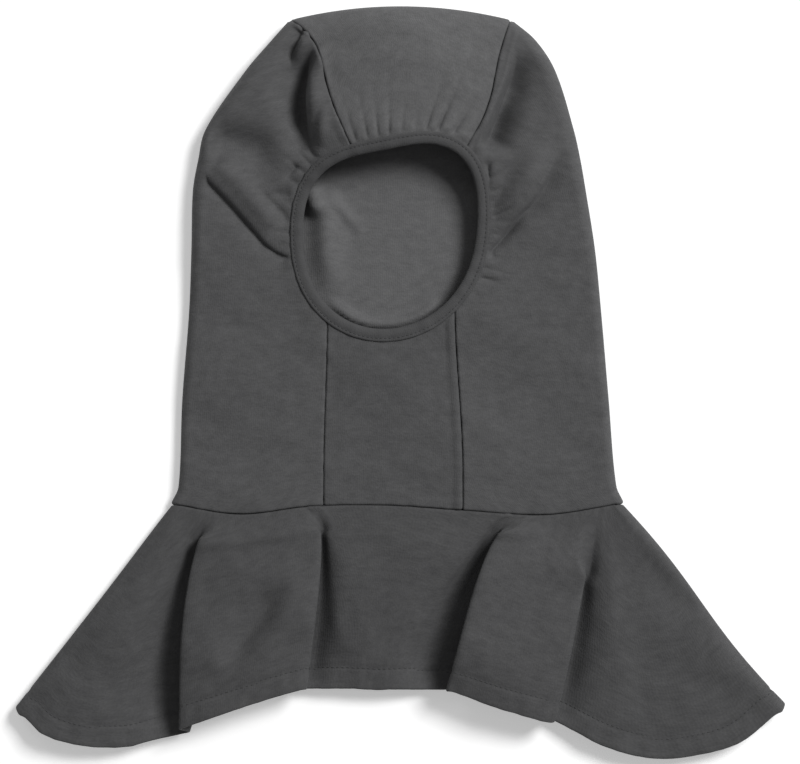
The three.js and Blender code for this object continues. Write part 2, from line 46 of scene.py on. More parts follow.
# Cloth and its seams, where each panel's edge turns in and runs on inside as a flange.
HALF = 0.6  # half of one layer of cloth
SEAM_HALF = 0.65  # from a seam's line to the middle of the cloth that turns in
SEAM_TURN = 1.0  # radius of the turn
SEAM_FLANGE = 2.4
TURN_STEPS = 5
FLANGE_STEPS = 3
SEAM_INSET = SEAM_HALF + SEAM_TURN
TURN_LENGTH = SEAM_TURN * math.pi / 2 + SEAM_FLANGE
SEAM_START = 5  # length of a seam, from the opening, over which its cloth comes to turn in
SLANT_MOST = 2  # times more inset where a seam runs at a slant
EDGE_STEPS = 3  # points round a cut or folded edge

# The hood.
NECK_Y = -82
CROWN_Y = 243.5
CROWN_SAG = 8.5
CORNER_X = 71.5
CORNER_GAP = 1.6
CROWN_FOLD = 17
BACK_SEAM_NECK_X = 64
HoodRow = namedtuple("HoodRow", "y left right rise fold")
HOOD = [
    HoodRow(235, -71.5, 71.5, 22, 16),
    HoodRow(222, -83, 87, 26, 17),
    HoodRow(202, -100, 100, 31, 18),
    HoodRow(164, -126, 112, 33, 18),
    HoodRow(144, -131, 116.5, 28, 17),
    HoodRow(124, -134.5, 120, 21, 15),
    HoodRow(86, -135.5, 126, 15.5, 13),
    HoodRow(46, -137, 130, 15.5, 12),
    HoodRow(-12, -141.5, 135, 13.5, 11),
    HoodRow(-70, -144, 140, 13, 10.5),
    HoodRow(NECK_Y, -149, 145, 13, 10),
]

# The face opening: an ellipse with two rounded corners above. Angles are in degrees from +X.
Face = namedtuple("Face", "x y width height lean")
FACE = Face(-7, 90, 109, 111.5, 4)
FaceCorner = namedtuple("FaceCorner", "angle grow spread")
FACE_CORNERS = [FaceCorner(54.5, 14.5, 32), FaceCorner(138, 9, 31)]
RIM_EDGE = 2  # the panels stop this far outside the opening, in the binding
BINDING_WIDTH = 8.5
BOUND_FLAT = 3.5  # cloth that the binding keeps flat beyond its own edge
BOUND_LOW = 20  # cloth beyond it where no fold stands up

# Where the panels' seams meet the face opening, in degrees, and how they run from there.
CROWN_ANGLE = {-1: 115, 1: 51.5}
THROAT_ANGLE = {-1: 228.5, 1: 322}
THROAT_NECK_X = {-1: -50, 1: 40.5}
THROAT_BEND = 1.2
Bow = namedtuple("Bow", "by at")
CROWN_BOW = {-1: Bow(8.5, 0.8), 1: Bow(5, 0.35)}
BOW_SHARPNESS = 5

# Creases. lip: the cloth that swells up on the left of the path's way, over lip_width. lean: how far it hangs
# over the crease. slope: how many times wider the other flank is. fade: shares of the length at each end.
Crease = namedtuple("Crease", "path depth width slope lip lip_width lean fade")
CREASES = [
    Crease([(-57.5, 221), (-59, 200), (-60.4, 184), (-59.4, 168), (-58.4, 152), (-55, 136)],
           20, 3.4, 4.6, 4.5, 3.6, 3.4, (0.3, 0.45)),
    Crease([(-51.7, 183), (-53.3, 161.5), (-53, 144)], 6.5, 2.4, 1.6, 1.2, 2.6, 1.2, (0.4, 0.4)),
    Crease([(-62.5, 229), (-67.5, 217), (-74.7, 204)], 5.5, 2.2, 3, 4.5, 2.3, 1.2, (0.12, 0.5)),
    Crease([(-129, 136),  (-113.4, 120), (-101.7, 107), (-91.6, 95), (-83.5, 87), (-70, 80)],
           3, 2.2, 3, 4.4, 7, 2.4, (0.12, 0.08)),
    Crease([(-127, 158), (-100, 153), (-72, 142)], 8, 13, 1, 0, 1, 0, (0.2, 0.4)),
    Crease([(-94, 125), (-83, 115), (-71, 103)], 1.6, 3.4, 1, 0.6, 4, 0.3, (0.3, 0.2)),
    Crease([(55.6, 82), (72, 104), (85.5, 117), (95, 132), (107.5, 154)],
           4.5, 2.4, 3.4, 6.5, 7, 2.4, (0.32, 0.35)),
    Crease([(55.6, 81.6), (67, 94.6), (81.6, 110)], 4, 2, 1.8, 1.6, 3, 1, (0.12, 0.5)),
    Crease([(58, 106), (66, 110), (75, 116)], 1.6, 1.3, 1.5, 0.9, 2.2, 0.4, (0.2, 0.5)),
    Crease([(57, 114), (63, 119), (70, 127)], 0.9, 1.3, 1.5, 0.5, 2.2, 0.2, (0.2, 0.5)),
    Crease([(58.2, 144), (56.4, 133), (55.4, 121)], 3.2, 1.8, 1.5, 1.8, 2.8, 0.6, (0.3, 0.3)),
    Crease([(54, 151), (58.4, 161.5), (69, 189), (74, 202.5), (77, 217)],
           15, 2.8, 4.4, 1.6, 2.2, 0, (0.12, 0.42)),
    Crease([(54.4, 146), (58.4, 161.5), (67, 184)], 3.6, 2.6, 4.4, 0.6, 2.2, 0, (0.2, 0.5)),
    Crease([(49, 66.5), (57, 66.5), (66, 64.5)], 1.3, 1.8, 1.5, 0.5, 2, 0.2, (0.2, 0.5)),
    Crease([(-66, 141), (-70, 136), (-76, 132)], 2, 2, 1.5, 0.8, 2.4, 0.3, (0.2, 0.5)),
    Crease([(-70, 122), (-77, 121), (-86, 124)], 1.4, 2, 1.5, 0.6, 2.2, 0.2, (0.2, 0.5)),
]
LIP_AT, LIP_SPREAD = 1.6, 1.2  # in widths of the lip
LEAN_AT, LEAN_SPREAD = 1.2, 1.1  # in widths of the crease
SEAM_HOLD = 5  # cloth beside a crown seam that the seam keeps from hanging over

# Gathers round the opening, by angle. height: of their waves. reach: how far out they die away.
Gather = namedtuple("Gather", "angle height reach")
GATHERS = [
    Gather(0, 0.8, 9),
    Gather(25, 0.9, 10),
    Gather(48, 1.3, 13),
    Gather(62, 2.3, 17),
    Gather(85, 1.4, 17),
    Gather(110, 0.8, 13),
    Gather(140, 0.9, 11),
    Gather(165, 0.9, 10),
    Gather(190, 0.6, 8),
    Gather(225, 0.2, 7),
    Gather(270, 0.1, 6),
    Gather(322, 0.3, 7),
    Gather(360, 0.8, 9),
]
GATHER_COUNT = 54
GATHER_VALLEY = 0.5  # narrowness of the valleys between the gathers
GATHER_RISE, GATHER_FALL = 0.8, 2  # in heights
# Waves round the opening that shift the gathers, and that make some of them higher.
Wave = namedtuple("Wave", "size count phase")
GATHER_WANDER = [Wave(0.9, 3, 0.4), Wave(0.7, 7, 2.1), Wave(0.5, 11, 5)]
GATHER_MEAN = 0.8
GATHER_UNEVEN = [Wave(0.35, 9, 4), Wave(0.25, 17, 5.4)]

# Slow unevenness of cloth that has been folded away: height and pitch of its bumps.
Uneven = namedtuple("Uneven", "height pitch seed")
PITCH_SPREAD = (0.7, 1.5)  # of its waves, in pitches
UNEVEN = [Uneven(0.9, 75, 11), Uneven(0.28, 24, 12)]
UNEVEN_START = 12  # cloth beyond the binding over which it begins
PUCKER = Uneven(0.22, 7, 13)  # beside a seam
PUCKER_REACH = 4
RELIEF_START = 20  # from the opening's middle up or down, where the seams' relief begins
# Seam allowance pressed to one side, seen as a low step beside the seam, with a ridge at its cut edge.
# start, past, end: how the step begins, runs past its width and ends. ridge: share of the height.
Allowance = namedtuple("Allowance", "height start past end ridge ridge_width")
ALLOWANCE = Allowance(1.1, 0.8, 1.5, 3, 0.6, 1.1)
ALLOWANCE_WIDTH = {"crown": 6.5, "throat": 4.2}

# Folds of the back layer, seen through the opening.
BACK_FOLDS = [
    Crease([(-62, 128), (-60, 108), (-59, 82), (-56, 60), (-50, 45)], 0, 3, 1, 6.8, 7, 0, (0.2, 0.5)),
    Crease([(-65, 130), (-62, 118), (-59, 104)], 0, 3, 1, 7.5, 4, 2, (0.3, 0.4)),
    Crease([(-52, 122), (-40, 108), (-24, 90)], 0, 2.2, 1, 2.6, 2.6, 0, (0.2, 0.5)),
    Crease([(-52, 53.5), (-45.5, 46.8), (-29.7, 37), (-11, 33.6), (8.3, 37), (25.5, 46.8), (33, 53.5)],
           0, 2.4, 1, 5, 2.4, 0, (0.2, 0.2)),
]

# The neck seam's wave: how far the sewn line rises from its straight way.
NECK_WAVE = [(-147, 2), (-105, -4.2), (-58, 1), (-5, 1.5), (40, -1.6), (95, -4.6), (143, 2.5)]
NECK_WAVE_REACH = 42

# The drape, as ribs from the neck seam to the hem.
DRAPE_LIE = 13.5
DRAPE_FRONT_LEAST = (2.2, 3.6)  # above the hem and at the hem, so that the front layer clears the back
WING_TIP = {-1: (-249.5, -217.5), 1: (249.5, -215.5)}
# rise, lift: how far the cloth stands above its straight way, halfway down and at the hem.
Rib = namedtuple("Rib", "neck_x hem_x hem_y rise lift", defaults=(0, 0))
LEFT_WING = [Rib(-142, -232, -227.5, 1.6, 3.5), Rib(-139.5, -205, -235.5, 1.6, 3)]
MIDDLE = Rib(-5, -16, -199.3, 3)
RIGHT_WING = [Rib(137.7, 168, -244), Rib(138.4, 218, -234.5)]
BackRib = namedtuple("BackRib", "neck hem hem_y")  # neck, hem: shares of the width from right to left
BACK = [
    BackRib(0.18, 0.12, -225),
    BackRib(0.33, 0.3, -212),
    BackRib(0.5, 0.5, -194.5),
    BackRib(0.67, 0.7, -204),
    BackRib(0.82, 0.88, -222),
]
# The flutes' edges, left and right. foot_y: hem of the cloth at the flute's foot. shoulder_y: hem where the
# cloth beside the flute turns down to its foot. bend, bulge: how the edge runs on its way down. angle: of
# each turn of the cloth, so that the flute hangs over. full: share of the depth where the angle is reached.
# long: times more cloth than usual between the turns.
FluteEdge = namedtuple("FluteEdge", "neck_x hem_x hem_y foot_y shoulder_y bend bulge angle full long")
FLUTES = [
    (
        FluteEdge(-124, -143, -223.5, -227.5, -235, 3, 0, 132, 0.2, 1.05),
        FluteEdge(-58, -61, -198.5, -198.5, -198.5, 1, 7, 115, 0.18, 1),
    ),
    (
        FluteEdge(77, 30, -199.5, -199.5, -199, 1, -10, 128, 0.15, 1.75),
        FluteEdge(127, 99.5, -220, -219, -234, 0.85, 0, 112, 0.42, 1),
    ),
]
CREST_ABOVE, CREST_SAG = 4, 0.55
# Cloth of a flute's edge at shares of the drape's depth: in each of its two turns, straight between them, and
# how far the cloth beside the flute dips on its way under it.
EdgeRow = namedtuple("EdgeRow", "share turn straight sink")
EDGE = [
    EdgeRow(0, 2.5, 2, 0),
    EdgeRow(0.12, 3, 6.5, 4.4),
    EdgeRow(0.3, 4, 11.5, 8.2),
    EdgeRow(0.65, 5.5, 16, 10),
    EdgeRow(0.86, 5, 14, 9.8),
    EdgeRow(1, 4.5, 6, 3),
]
BULGE_EARLY = 0.5
EDGE_LEAST = 0.001  # share of an edge's angle at the neck
# The valleys at a flute's left (1) and right (-1), from the shoulder where the cloth turns down to the
# deepest line. out: share of the valley's width. sink: share of its depth.
ValleyRib = namedtuple("ValleyRib", "out sink")
VALLEY = {
    1: [ValleyRib(1.15, 0), ValleyRib(0.86, 0.42), ValleyRib(0.56, 1)],
    -1: [ValleyRib(1.1, -0.2), ValleyRib(0.58, 0.12), ValleyRib(0.1, 1)],
}
VALLEY_WIDTH = (7, 29)  # at neck and hem
VALLEY_FULL = 0.85  # share of the depth where it is at its widest
SIDE_FOLD_RIBS = 5
TIP_ROUND = 6  # how far the hem rises round a wing's tip
WING_WAVE = {-1: 0, 1: 2.2}  # how far a wing's side runs out on its way down, and then in
# Soft folds of the drape's front layer.
DENTS = [
    Crease([(-70, -130), (-84, -142), (-98, -162), (-116, -188)], 7.5, 9, 1.5, 2, 9, 0, (0.3, 0.35)),
    Crease([(-152, -96), (-168, -118), (-192, -150)], 1.6, 12, 1, 1.2, 12, 0, (0.3, 0.5)),
    Crease([(146, -98), (170, -128), (205, -170)], 2.0, 12, 1, 1.6, 12, 0, (0.2, 0.5)),
    Crease([(-8, -100), (-14, -130), (-18, -165)], 1.2, 14, 1, 0.8, 14, 0, (0.3, 0.4)),
]
DRAPE_UNEVEN = [Uneven(1.0, 60, 21), Uneven(0.3, 22, 22)]
DRAPE_UNEVEN_START = 25  # cloth below the neck seam over which dents and unevenness begin

# The turned hem: depth, added cloth inside, and its sewn line.
HEM = 13
HEM_CLOTH = 0.8
HEM_STEP = 2.5
HEM_GROOVE = 0.6
HEM_GROOVE_WIDTH = 1.2
HEM_PUCKER = Uneven(0.18, 8, 31)
HEM_PUCKER_STRETCH = 0.5  # so that the puckers are longer down the hem than along it

# Stitches: pitch along the line, length and thickness of thread that shows.
Stitch = namedtuple("Stitch", "pitch length radius")
HEM_STITCH = Stitch(3.4, 2.5, 0.3)
BINDING_STITCH = Stitch(2.9, 2.1, 0.26)
BINDING_STITCH_OUT = 6.2  # from the opening's edge
BINDING_STITCH_UP = 1.7  # above the panels' middle
# Shape of a stitch along its length. thick, rise: in radii.
StitchPart = namedtuple("StitchPart", "share thick rise")
STITCH_HALF = [StitchPart(0, 0.4, -0.5), StitchPart(0.12, 0.85, 0.2), StitchPart(0.35, 1, 0.6)]
STITCH_SHAPE = STITCH_HALF + [part._replace(share=1 - part.share) for part in reversed(STITCH_HALF)]
STITCH_SIDES = 7
STITCH_AHEAD = 0.2  # distance at which the line's way is read
STITCH_UV_STEP = 0.1  # from side to side

# The binding's section: distance out from the opening's edge, height above the panels' middle.
BINDING_SECTION = [
    (8.3, 0.72), (8.5, 1.1), (8.2, 1.55), (7.5, 1.8), (6.7, 1.78), (6.2, 1.66), (5.7, 1.8), (4.8, 2.0),
    (3.6, 2.08), (2.4, 1.95), (1.3, 1.5), (0.5, 0.9), (0.1, 0.3), (0.1, -0.3), (0.5, -0.9), (1.3, -1.5),
    (2.4, -1.9), (4.8, -2.0), (7.5, -1.8), (8.4, -1.3), (8.3, -0.75), (2.2, -0.72), (1.6, 0), (2.2, 0.72),
]
BINDING_STEPS = 400
BINDING_UNEVEN = [Wave(0.1, 23, 1), Wave(0.1, 37, 4), Wave(0.1, 9, 0)]

# Cloth as it is cut, before it is sewn and laid: the rectangle round it, and the share of it that is cloth.
Cut = namedtuple("Cut", "width length share")

# Grid cells of the cloth.
CELL = 2.0
CROWN_STEPS = {"across": 74, "front": 50, "fold": 26, "back": 140}
THROAT_STEPS = {"across": 48, "down": 74}
THROAT_CROWDING = 1.3
RIM_EASE = {"crown": 2, "throat": 1.5}
SIDE_ROWS = {"neck": 62, "rim": 84, "crown": 52}
SIDE_COLUMNS = {"front": 54, "fold": 26, "back": 34}
SIDE_FOLD_SHARE = 0.6
SIDE_LEAST = 0.05  # a row's cloth from the side fold's edge
DRAPE_ROWS = {"cloth": 52, "hem": 9}

# Yarns: light and dark tone, and the width of a loop of the knit.
Knit = namedtuple("Knit", "light dark loop")
HOOD_KNIT = Knit((0.103, 0.103, 0.105), (0.065, 0.065, 0.0665), 1.3)
SIDE_KNIT = Knit((0.108, 0.108, 0.110), (0.068, 0.068, 0.0695), 1.3)
# The crown's knit is lighter than the hood's: a painted highlight, where the crown catches more light.
CROWN_KNIT_PAINTED_HIGHLIGHT = Knit((0.134, 0.134, 0.136), (0.086, 0.086, 0.0875), 1.3)
INSIDE_KNIT = Knit((0.144, 0.144, 0.146), (0.098, 0.098, 0.100), 1.3)
DRAPE_KNIT = Knit((0.091, 0.091, 0.0925), (0.057, 0.057, 0.0585), 1.3)
BINDING_KNIT = Knit((0.084, 0.084, 0.0855), (0.064, 0.064, 0.0655), 1.4)
THREAD_TONES = ((0.06, 0.06, 0.062), (0.03, 0.03, 0.032))
# Noises in the knit. stretch: scale along the courses to the scale across them. share: of the colour.
Noise = namedtuple("Noise", "scale stretch detail share")
NOISES = {
    "heather": Noise(700, 1, 2, 0.34),
    "mottle": Noise(190, 0.7, 3, 0.4),
    "streaks": Noise(420, 0.3, 2, 0.14),
    "patches": Noise(28, 1, 3, 0.12),
}
TONES_AT = (0.32, 0.68)  # of the noises' sum, for the dark and the light tone
COURSE = 0.8  # height of a loop, to its width
LOOP_WANDER = 14  # how far the rows of loops stray, in radians
COURSE_SHARE = 0.3  # height of the courses, to that of the wales
LOOP_HEIGHT = 0.1  # height of the loops in the bump, beside the fuzz
FUZZ = {"heather": 0.9, "streaks": 0.7}
KNIT_BUMP = {"Strength": 0.5, "Distance": 0.45 * MM}
KNIT_SHADER = {
    "Roughness": 0.92,
    "Specular IOR Level": 0.25,
    "Sheen Weight": 0.1,
    "Sheen Roughness": 0.45,
    "Sheen Tint": (0.75, 0.76, 0.78, 1),
}
THREAD_SHADER = {"Roughness": 0.7, "Sheen Weight": 0.1}
THREAD_TWIST = {"Scale": 700, "Distortion": 1.5}

# The studio, in metres.
HALF_FLOOR = 7
FLOOR_SHADER = {
    "Base Color": (0.9, 0.9, 0.9, 1),
    "Roughness": 0.9,
    "Emission Color": (1, 1, 1, 1),
    "Emission Strength": 0.35,  # as on a lit table
}
CAMERA_PLACE = (-0.0003, -0.0003, 2.6)
VIEW_PLANE = 0.01  # height at which the picture is VIEW_WIDTH wide
VIEW_WIDTH = 0.52
Lamp = namedtuple("Lamp", "name place size watts")
LAMPS = [Lamp("key", (3.6, 2.8, 4.6), 2.2, 374), Lamp("fill", (-1.5, 2.4, 2.4), 1.2, 6)]
WORLD_GLOW = {"Color": (1, 1, 1, 1), "Strength": 0.195}


def mix(a, b, t):
    return a + (b - a) * t


def smooth(t):
    t = np.clip(t, 0, 1)
    return t * t * (3 - 2 * t)


def bell(t):
    return np.exp(-t * t)


def waves_at(waves, a):
    return sum(wave.size * np.sin(wave.count * a + wave.phase) for wave in waves)


def unit(v):
    return v / np.maximum(np.linalg.norm(v, axis=-1, keepdims=True), 1e-9)


def curve_through(xs, values, x):
    """Values on a smooth curve through a table's rows, at places x."""
    xs = np.asarray(xs, float)
    values = np.asarray(values, float)
    slopes = np.gradient(values, xs)
    slopes[1:-1] = (values[2:] - values[:-2]) / (xs[2:] - xs[:-2])
    i = np.clip(np.searchsorted(xs, x) - 1, 0, len(xs) - 2)
    span = xs[i + 1] - xs[i]
    t = np.clip((x - xs[i]) / span, 0, 1)
    bend = slopes[i] * (1 - t) - slopes[i + 1] * t
    return mix(values[i], values[i + 1], smooth(t)) + bend * span * t * (1 - t)


def hood_column(name, y):
    rows = HOOD[::-1]
    return curve_through([row.y for row in rows], [getattr(row, name) for row in rows], y)


def ripples(x, y, uneven, waves=8):
    """A smooth irregular height with bumps about one pitch apart."""
    rng = np.random.default_rng(uneven.seed)
    total = 0
    for _ in range(waves):
        heading, phase = rng.uniform(0, math.tau, 2)
        step = math.tau / (uneven.pitch * rng.uniform(*PITCH_SPREAD))
        total = total + np.sin(step * (x * math.cos(heading) + y * math.sin(heading)) + phase)
    return uneven.height * total / math.sqrt(waves)


def spline(points, steps=8):
    """A smooth open curve through a few points of the plane."""
    p = np.asarray(points, float)
    p = np.vstack([2 * p[0] - p[1], p, 2 * p[-1] - p[-2]])
    t = np.linspace(0, 1, steps, endpoint=False)[:, None]
    runs = []
    for a, b, c, d in zip(p, p[1:], p[2:], p[3:]):
        tangent_b, tangent_c = (c - a) / 2, (d - b) / 2
        bend = tangent_b * (1 - t) - tangent_c * t
        runs.append(mix(b, c, smooth(t)) + bend * t * (1 - t))
    return np.vstack(runs + [p[-2:-1]])


def beside(path, x, y):
    """Share along a path of the place nearest to each point, distance to its left, and the way left."""
    curve = spline(path)
    lengths = np.linalg.norm(np.diff(curve, axis=0), axis=1)
    starts = np.concatenate([[0], np.cumsum(lengths)])
    nearest = np.full(np.shape(x), np.inf)
    along, aside, left_x, left_y = (np.zeros(np.shape(x)) for _ in range(4))
    for (px, py), (qx, qy), length, start in zip(curve, curve[1:], lengths, starts):
        ux, uy = (qx - px) / length, (qy - py) / length
        t = np.clip((x - px) * ux + (y - py) * uy, 0, length)
        off_x, off_y = x - px - t * ux, y - py - t * uy
        distance = np.hypot(off_x, off_y)
        is_near = distance < nearest
        nearest = np.where(is_near, distance, nearest)
        side = np.sign(ux * off_y - uy * off_x)
        along = np.where(is_near, (start + t) / starts[-1], along)
        aside = np.where(is_near, side * distance, aside)
        left_x = np.where(is_near, -uy, left_x)
        left_y = np.where(is_near, ux, left_y)
    return along, aside, left_x, left_y


def crease_shape(crease, x, y):
    """Fall of the cloth at a crease, swell of its lip, and the push in x and y where the lip hangs over."""
    along, aside, left_x, left_y = beside(crease.path, x, y)
    start, end = crease.fade
    fade = smooth(along / start) * smooth((1 - along) / end)
    flank = aside / np.where(aside > 0, crease.width, crease.width * crease.slope)
    swell = fade * crease.lip * bell((aside / crease.lip_width - LIP_AT) / LIP_SPREAD)
    fall = fade * crease.depth * bell(flank)
    push = -fade * crease.lean * bell((aside / crease.width - LEAN_AT) / LEAN_SPREAD)
    return fall, swell, push * left_x, push * left_y


def crease_sums(creases, x, y):
    """Fall, swell and push of all these creases together."""
    return sum(np.stack(crease_shape(crease, x, y)) for crease in creases)


def face_grow(degrees):
    total = 0
    for corner in FACE_CORNERS:
        away = (degrees - corner.angle + 180) % 360 - 180
        total = total + corner.grow * bell(away / corner.spread)
    return total


def face_point(degrees, grow):
    """The face opening's edge, grown outwards by a distance."""
    a = np.radians(degrees)
    grow = grow + face_grow(degrees)
    x = FACE.x + (FACE.width / 2 + grow) * np.cos(a) + FACE.lean * np.sin(a)
    y = FACE.y + (FACE.height / 2 + grow) * np.sin(a)
    return x, y


def from_face(x, y):
    """Distance of a point outside the face opening, and its angle round it in degrees."""
    up = (y - FACE.y) / (FACE.height / 2)
    across = (x - FACE.x - FACE.lean * up) / (FACE.width / 2)
    degrees = np.degrees(np.arctan2(up, across)) % 360
    return (np.hypot(up, across) - 1) * FACE.height / 2 - face_grow(degrees), degrees


def gather_height(degrees, out):
    """Round gathers with narrow valleys between, in the cloth that the elastic binding draws in."""
    table = np.array(GATHERS)
    height = np.interp(degrees, table[:, 0], table[:, 1])
    reach = np.interp(degrees, table[:, 0], table[:, 2])
    a = np.radians(degrees)
    uneven = GATHER_MEAN + waves_at(GATHER_UNEVEN, a)
    valley = bell(np.sin(GATHER_COUNT * a / 2 + waves_at(GATHER_WANDER, a)) / GATHER_VALLEY)
    share = smooth(out / BOUND_FLAT) * np.exp(-np.maximum(out, 0) / reach)
    return height * uneven * share * (GATHER_RISE - GATHER_FALL * valley)


def crown_top(x):
    return CROWN_Y - CROWN_SAG * (x / CORNER_X) ** 2


def crown_seam_x(side, y):
    foot_x, foot_y = face_point(CROWN_ANGLE[side], RIM_EDGE)
    t = np.clip((y - foot_y) / (crown_top(CORNER_X) - foot_y), 0, 1)
    bow = CROWN_BOW[side]
    before, after = BOW_SHARPNESS * bow.at, BOW_SHARPNESS * (1 - bow.at)
    shape = (t / bow.at) ** before * ((1 - t) / (1 - bow.at)) ** after
    return mix(foot_x, side * CORNER_X, t) + bow.by * shape


def throat_seam_x(side, y):
    top_x, top_y = face_point(THROAT_ANGLE[side], RIM_EDGE)
    return mix(top_x, THROAT_NECK_X[side], smooth(THROAT_BEND * (top_y - y) / (top_y - NECK_Y)))


def back_seam_x(side, y):
    up = np.clip((y - NECK_Y) / (crown_top(CORNER_X) - NECK_Y), 0, 1)
    return side * mix(BACK_SEAM_NECK_X, CORNER_X, up)


def seam_relief(x, y):
    """Puckers beside the front seams and the neck seam, and the allowances pressed to one side."""
    above = smooth((y - FACE.y) / RELIEF_START)
    below = smooth((FACE.y - y) / RELIEF_START)
    near = bell((y - NECK_Y) / PUCKER_REACH)
    step = 0
    for side in (-1, 1):
        crown = x - crown_seam_x(side, y)
        throat = x - throat_seam_x(side, y)
        near = near + above * bell(crown / PUCKER_REACH) + below * bell(throat / PUCKER_REACH)
        if side > 0:
            step = step + above * allowance_step(crown, ALLOWANCE_WIDTH["crown"])
            step = step + below * allowance_step(-throat, ALLOWANCE_WIDTH["throat"])
    return near * ripples(x, y, PUCKER) + step


def allowance_step(aside, width):
    step = ALLOWANCE
    ridge = step.ridge * bell((aside - width) / step.ridge_width)
    flat = smooth(aside / step.start) * smooth((width + step.past - aside) / step.end)
    return step.height * (flat + ridge)


def front_layer(x, y):
    """Height of the front layer's middle before its edges are rounded, and its push in x and y."""
    fold = hood_column("fold", y)
    left = hood_column("left", y) + fold / 2
    right = hood_column("right", y) - fold / 2
    across = np.clip((x - left) / (right - left), 0, 1) * 2 - 1
    z = fold + (hood_column("rise", y) - fold) * np.cos(across * np.pi / 2) ** 2
    out, degrees = from_face(x, y)
    out = out - BINDING_WIDTH
    free = smooth(out / BOUND_FLAT)
    may_rise = smooth(out / BOUND_LOW)
    may_lean = free
    for side in (-1, 1):
        may_lean = may_lean * smooth((np.abs(x - crown_seam_x(side, y)) - SEAM_INSET) / SEAM_HOLD)
    fall, swell, push_x, push_y = crease_sums(CREASES, x, y)
    z = z + may_rise * swell - free * fall
    z = z + gather_height(degrees, out) + free * seam_relief(x, y)
    for uneven in UNEVEN:
        z = z + smooth(out / UNEVEN_START) * ripples(x, y, uneven)
    return z, may_lean * push_x, may_lean * push_y


def back_layer(x, y):
    """Height of the back layer's middle, and its push in x and y."""
    fall, swell, push_x, push_y = crease_sums(BACK_FOLDS, x, y)
    return np.maximum(HALF + swell - fall, HALF), push_x, push_y


def quarter(share):
    return np.sqrt(1 - (1 - np.clip(share, 0, 1)) ** 2)


def hood_point(x, y, is_front):
    """Middle of the cloth at a point of the outline, on the front layer or on the back that lies flat."""
    x, y = np.broadcast_arrays(np.asarray(x, float), np.asarray(y, float))
    fold = hood_column("fold", y)
    to_side = np.minimum(x - hood_column("left", y), hood_column("right", y) - x)
    rounded = quarter(to_side / (fold / 2)) * quarter((crown_top(x) - y) / CROWN_FOLD)
    if is_front:
        layer, push_x, push_y = front_layer(x, y)
    else:
        layer, push_x, push_y = back_layer(x, y)
    z = mix(fold / 2, layer, rounded)
    return np.stack([x + push_x * rounded, y + push_y * rounded, z], axis=-1)


def settled(points):
    """Points after the neck seam is laid along its wave."""
    x, y, z = np.moveaxis(points, -1, 0)
    wave = curve_through(*zip(*NECK_WAVE), x)
    return np.stack([x, y + wave * bell((y - NECK_Y) / NECK_WAVE_REACH), z], axis=-1)


def grid_normals(grid, is_ring=False):
    if is_ring:
        along = np.roll(grid, -1, axis=0) - np.roll(grid, 1, axis=0)
    else:
        along = np.gradient(grid, axis=0)
    return unit(np.cross(along, np.gradient(grid, axis=1)))


def turned_in(grid, facing, share=1.0, is_ring=False, reach=1.0):
    """A grid with the cloth beyond its last column, which turns in at a seam by a share of a right angle
    and runs on as a flange. facing is 1 or -1, so that facing times the grid's normal points out. reach:
    share of the usual cloth."""
    normal = facing * grid_normals(grid, is_ring)[:, -1]
    edge = grid[:, -1]
    if is_ring:
        along = unit(np.roll(edge, -1, axis=0) - np.roll(edge, 1, axis=0))
    else:
        along = unit(np.gradient(edge, axis=0))
    out = edge - grid[:, -2]
    out = unit(out - along * np.sum(out * along, axis=-1, keepdims=True))
    right = np.asarray(share)[..., None] * math.pi / 2
    reach = np.asarray(reach)[..., None]
    place = edge
    columns = [grid]
    turns = [((k + 0.5) / TURN_STEPS, SEAM_TURN * math.pi / 2 / TURN_STEPS) for k in range(TURN_STEPS)]
    turns += [(1, SEAM_FLANGE / FLANGE_STEPS)] * FLANGE_STEPS
    for part, length in turns:
        place = place + length * reach * (out * np.cos(part * right) - normal * np.sin(part * right))
        columns.append(place[:, None])
    return np.concatenate(columns, axis=1)


def turned_in_first(grid, facing, share=1.0, is_ring=False, reach=1.0):
    return turned_in(grid[:, ::-1], -facing, share, is_ring, reach)[:, ::-1]


def across_grid(grid):
    return np.swapaxes(grid, 0, 1)


def slanted(seam_x, side, y):
    """Inset of a seam's cloth along x, where the seam runs at a slant."""
    slope = seam_x(side, y + 0.5) - seam_x(side, y - 0.5)
    return SEAM_INSET * np.minimum(np.sqrt(1 + slope ** 2), SLANT_MOST)


def seamed_strip(columns, facing):
    """Grid of a panel that starts at the face opening and is sewn on its three other sides."""
    grid = turned_in(settled(np.stack(columns, axis=1)), facing)
    sideways = turned_in(across_grid(grid), -facing)
    return across_grid(turned_in_first(sideways, -facing)), facing


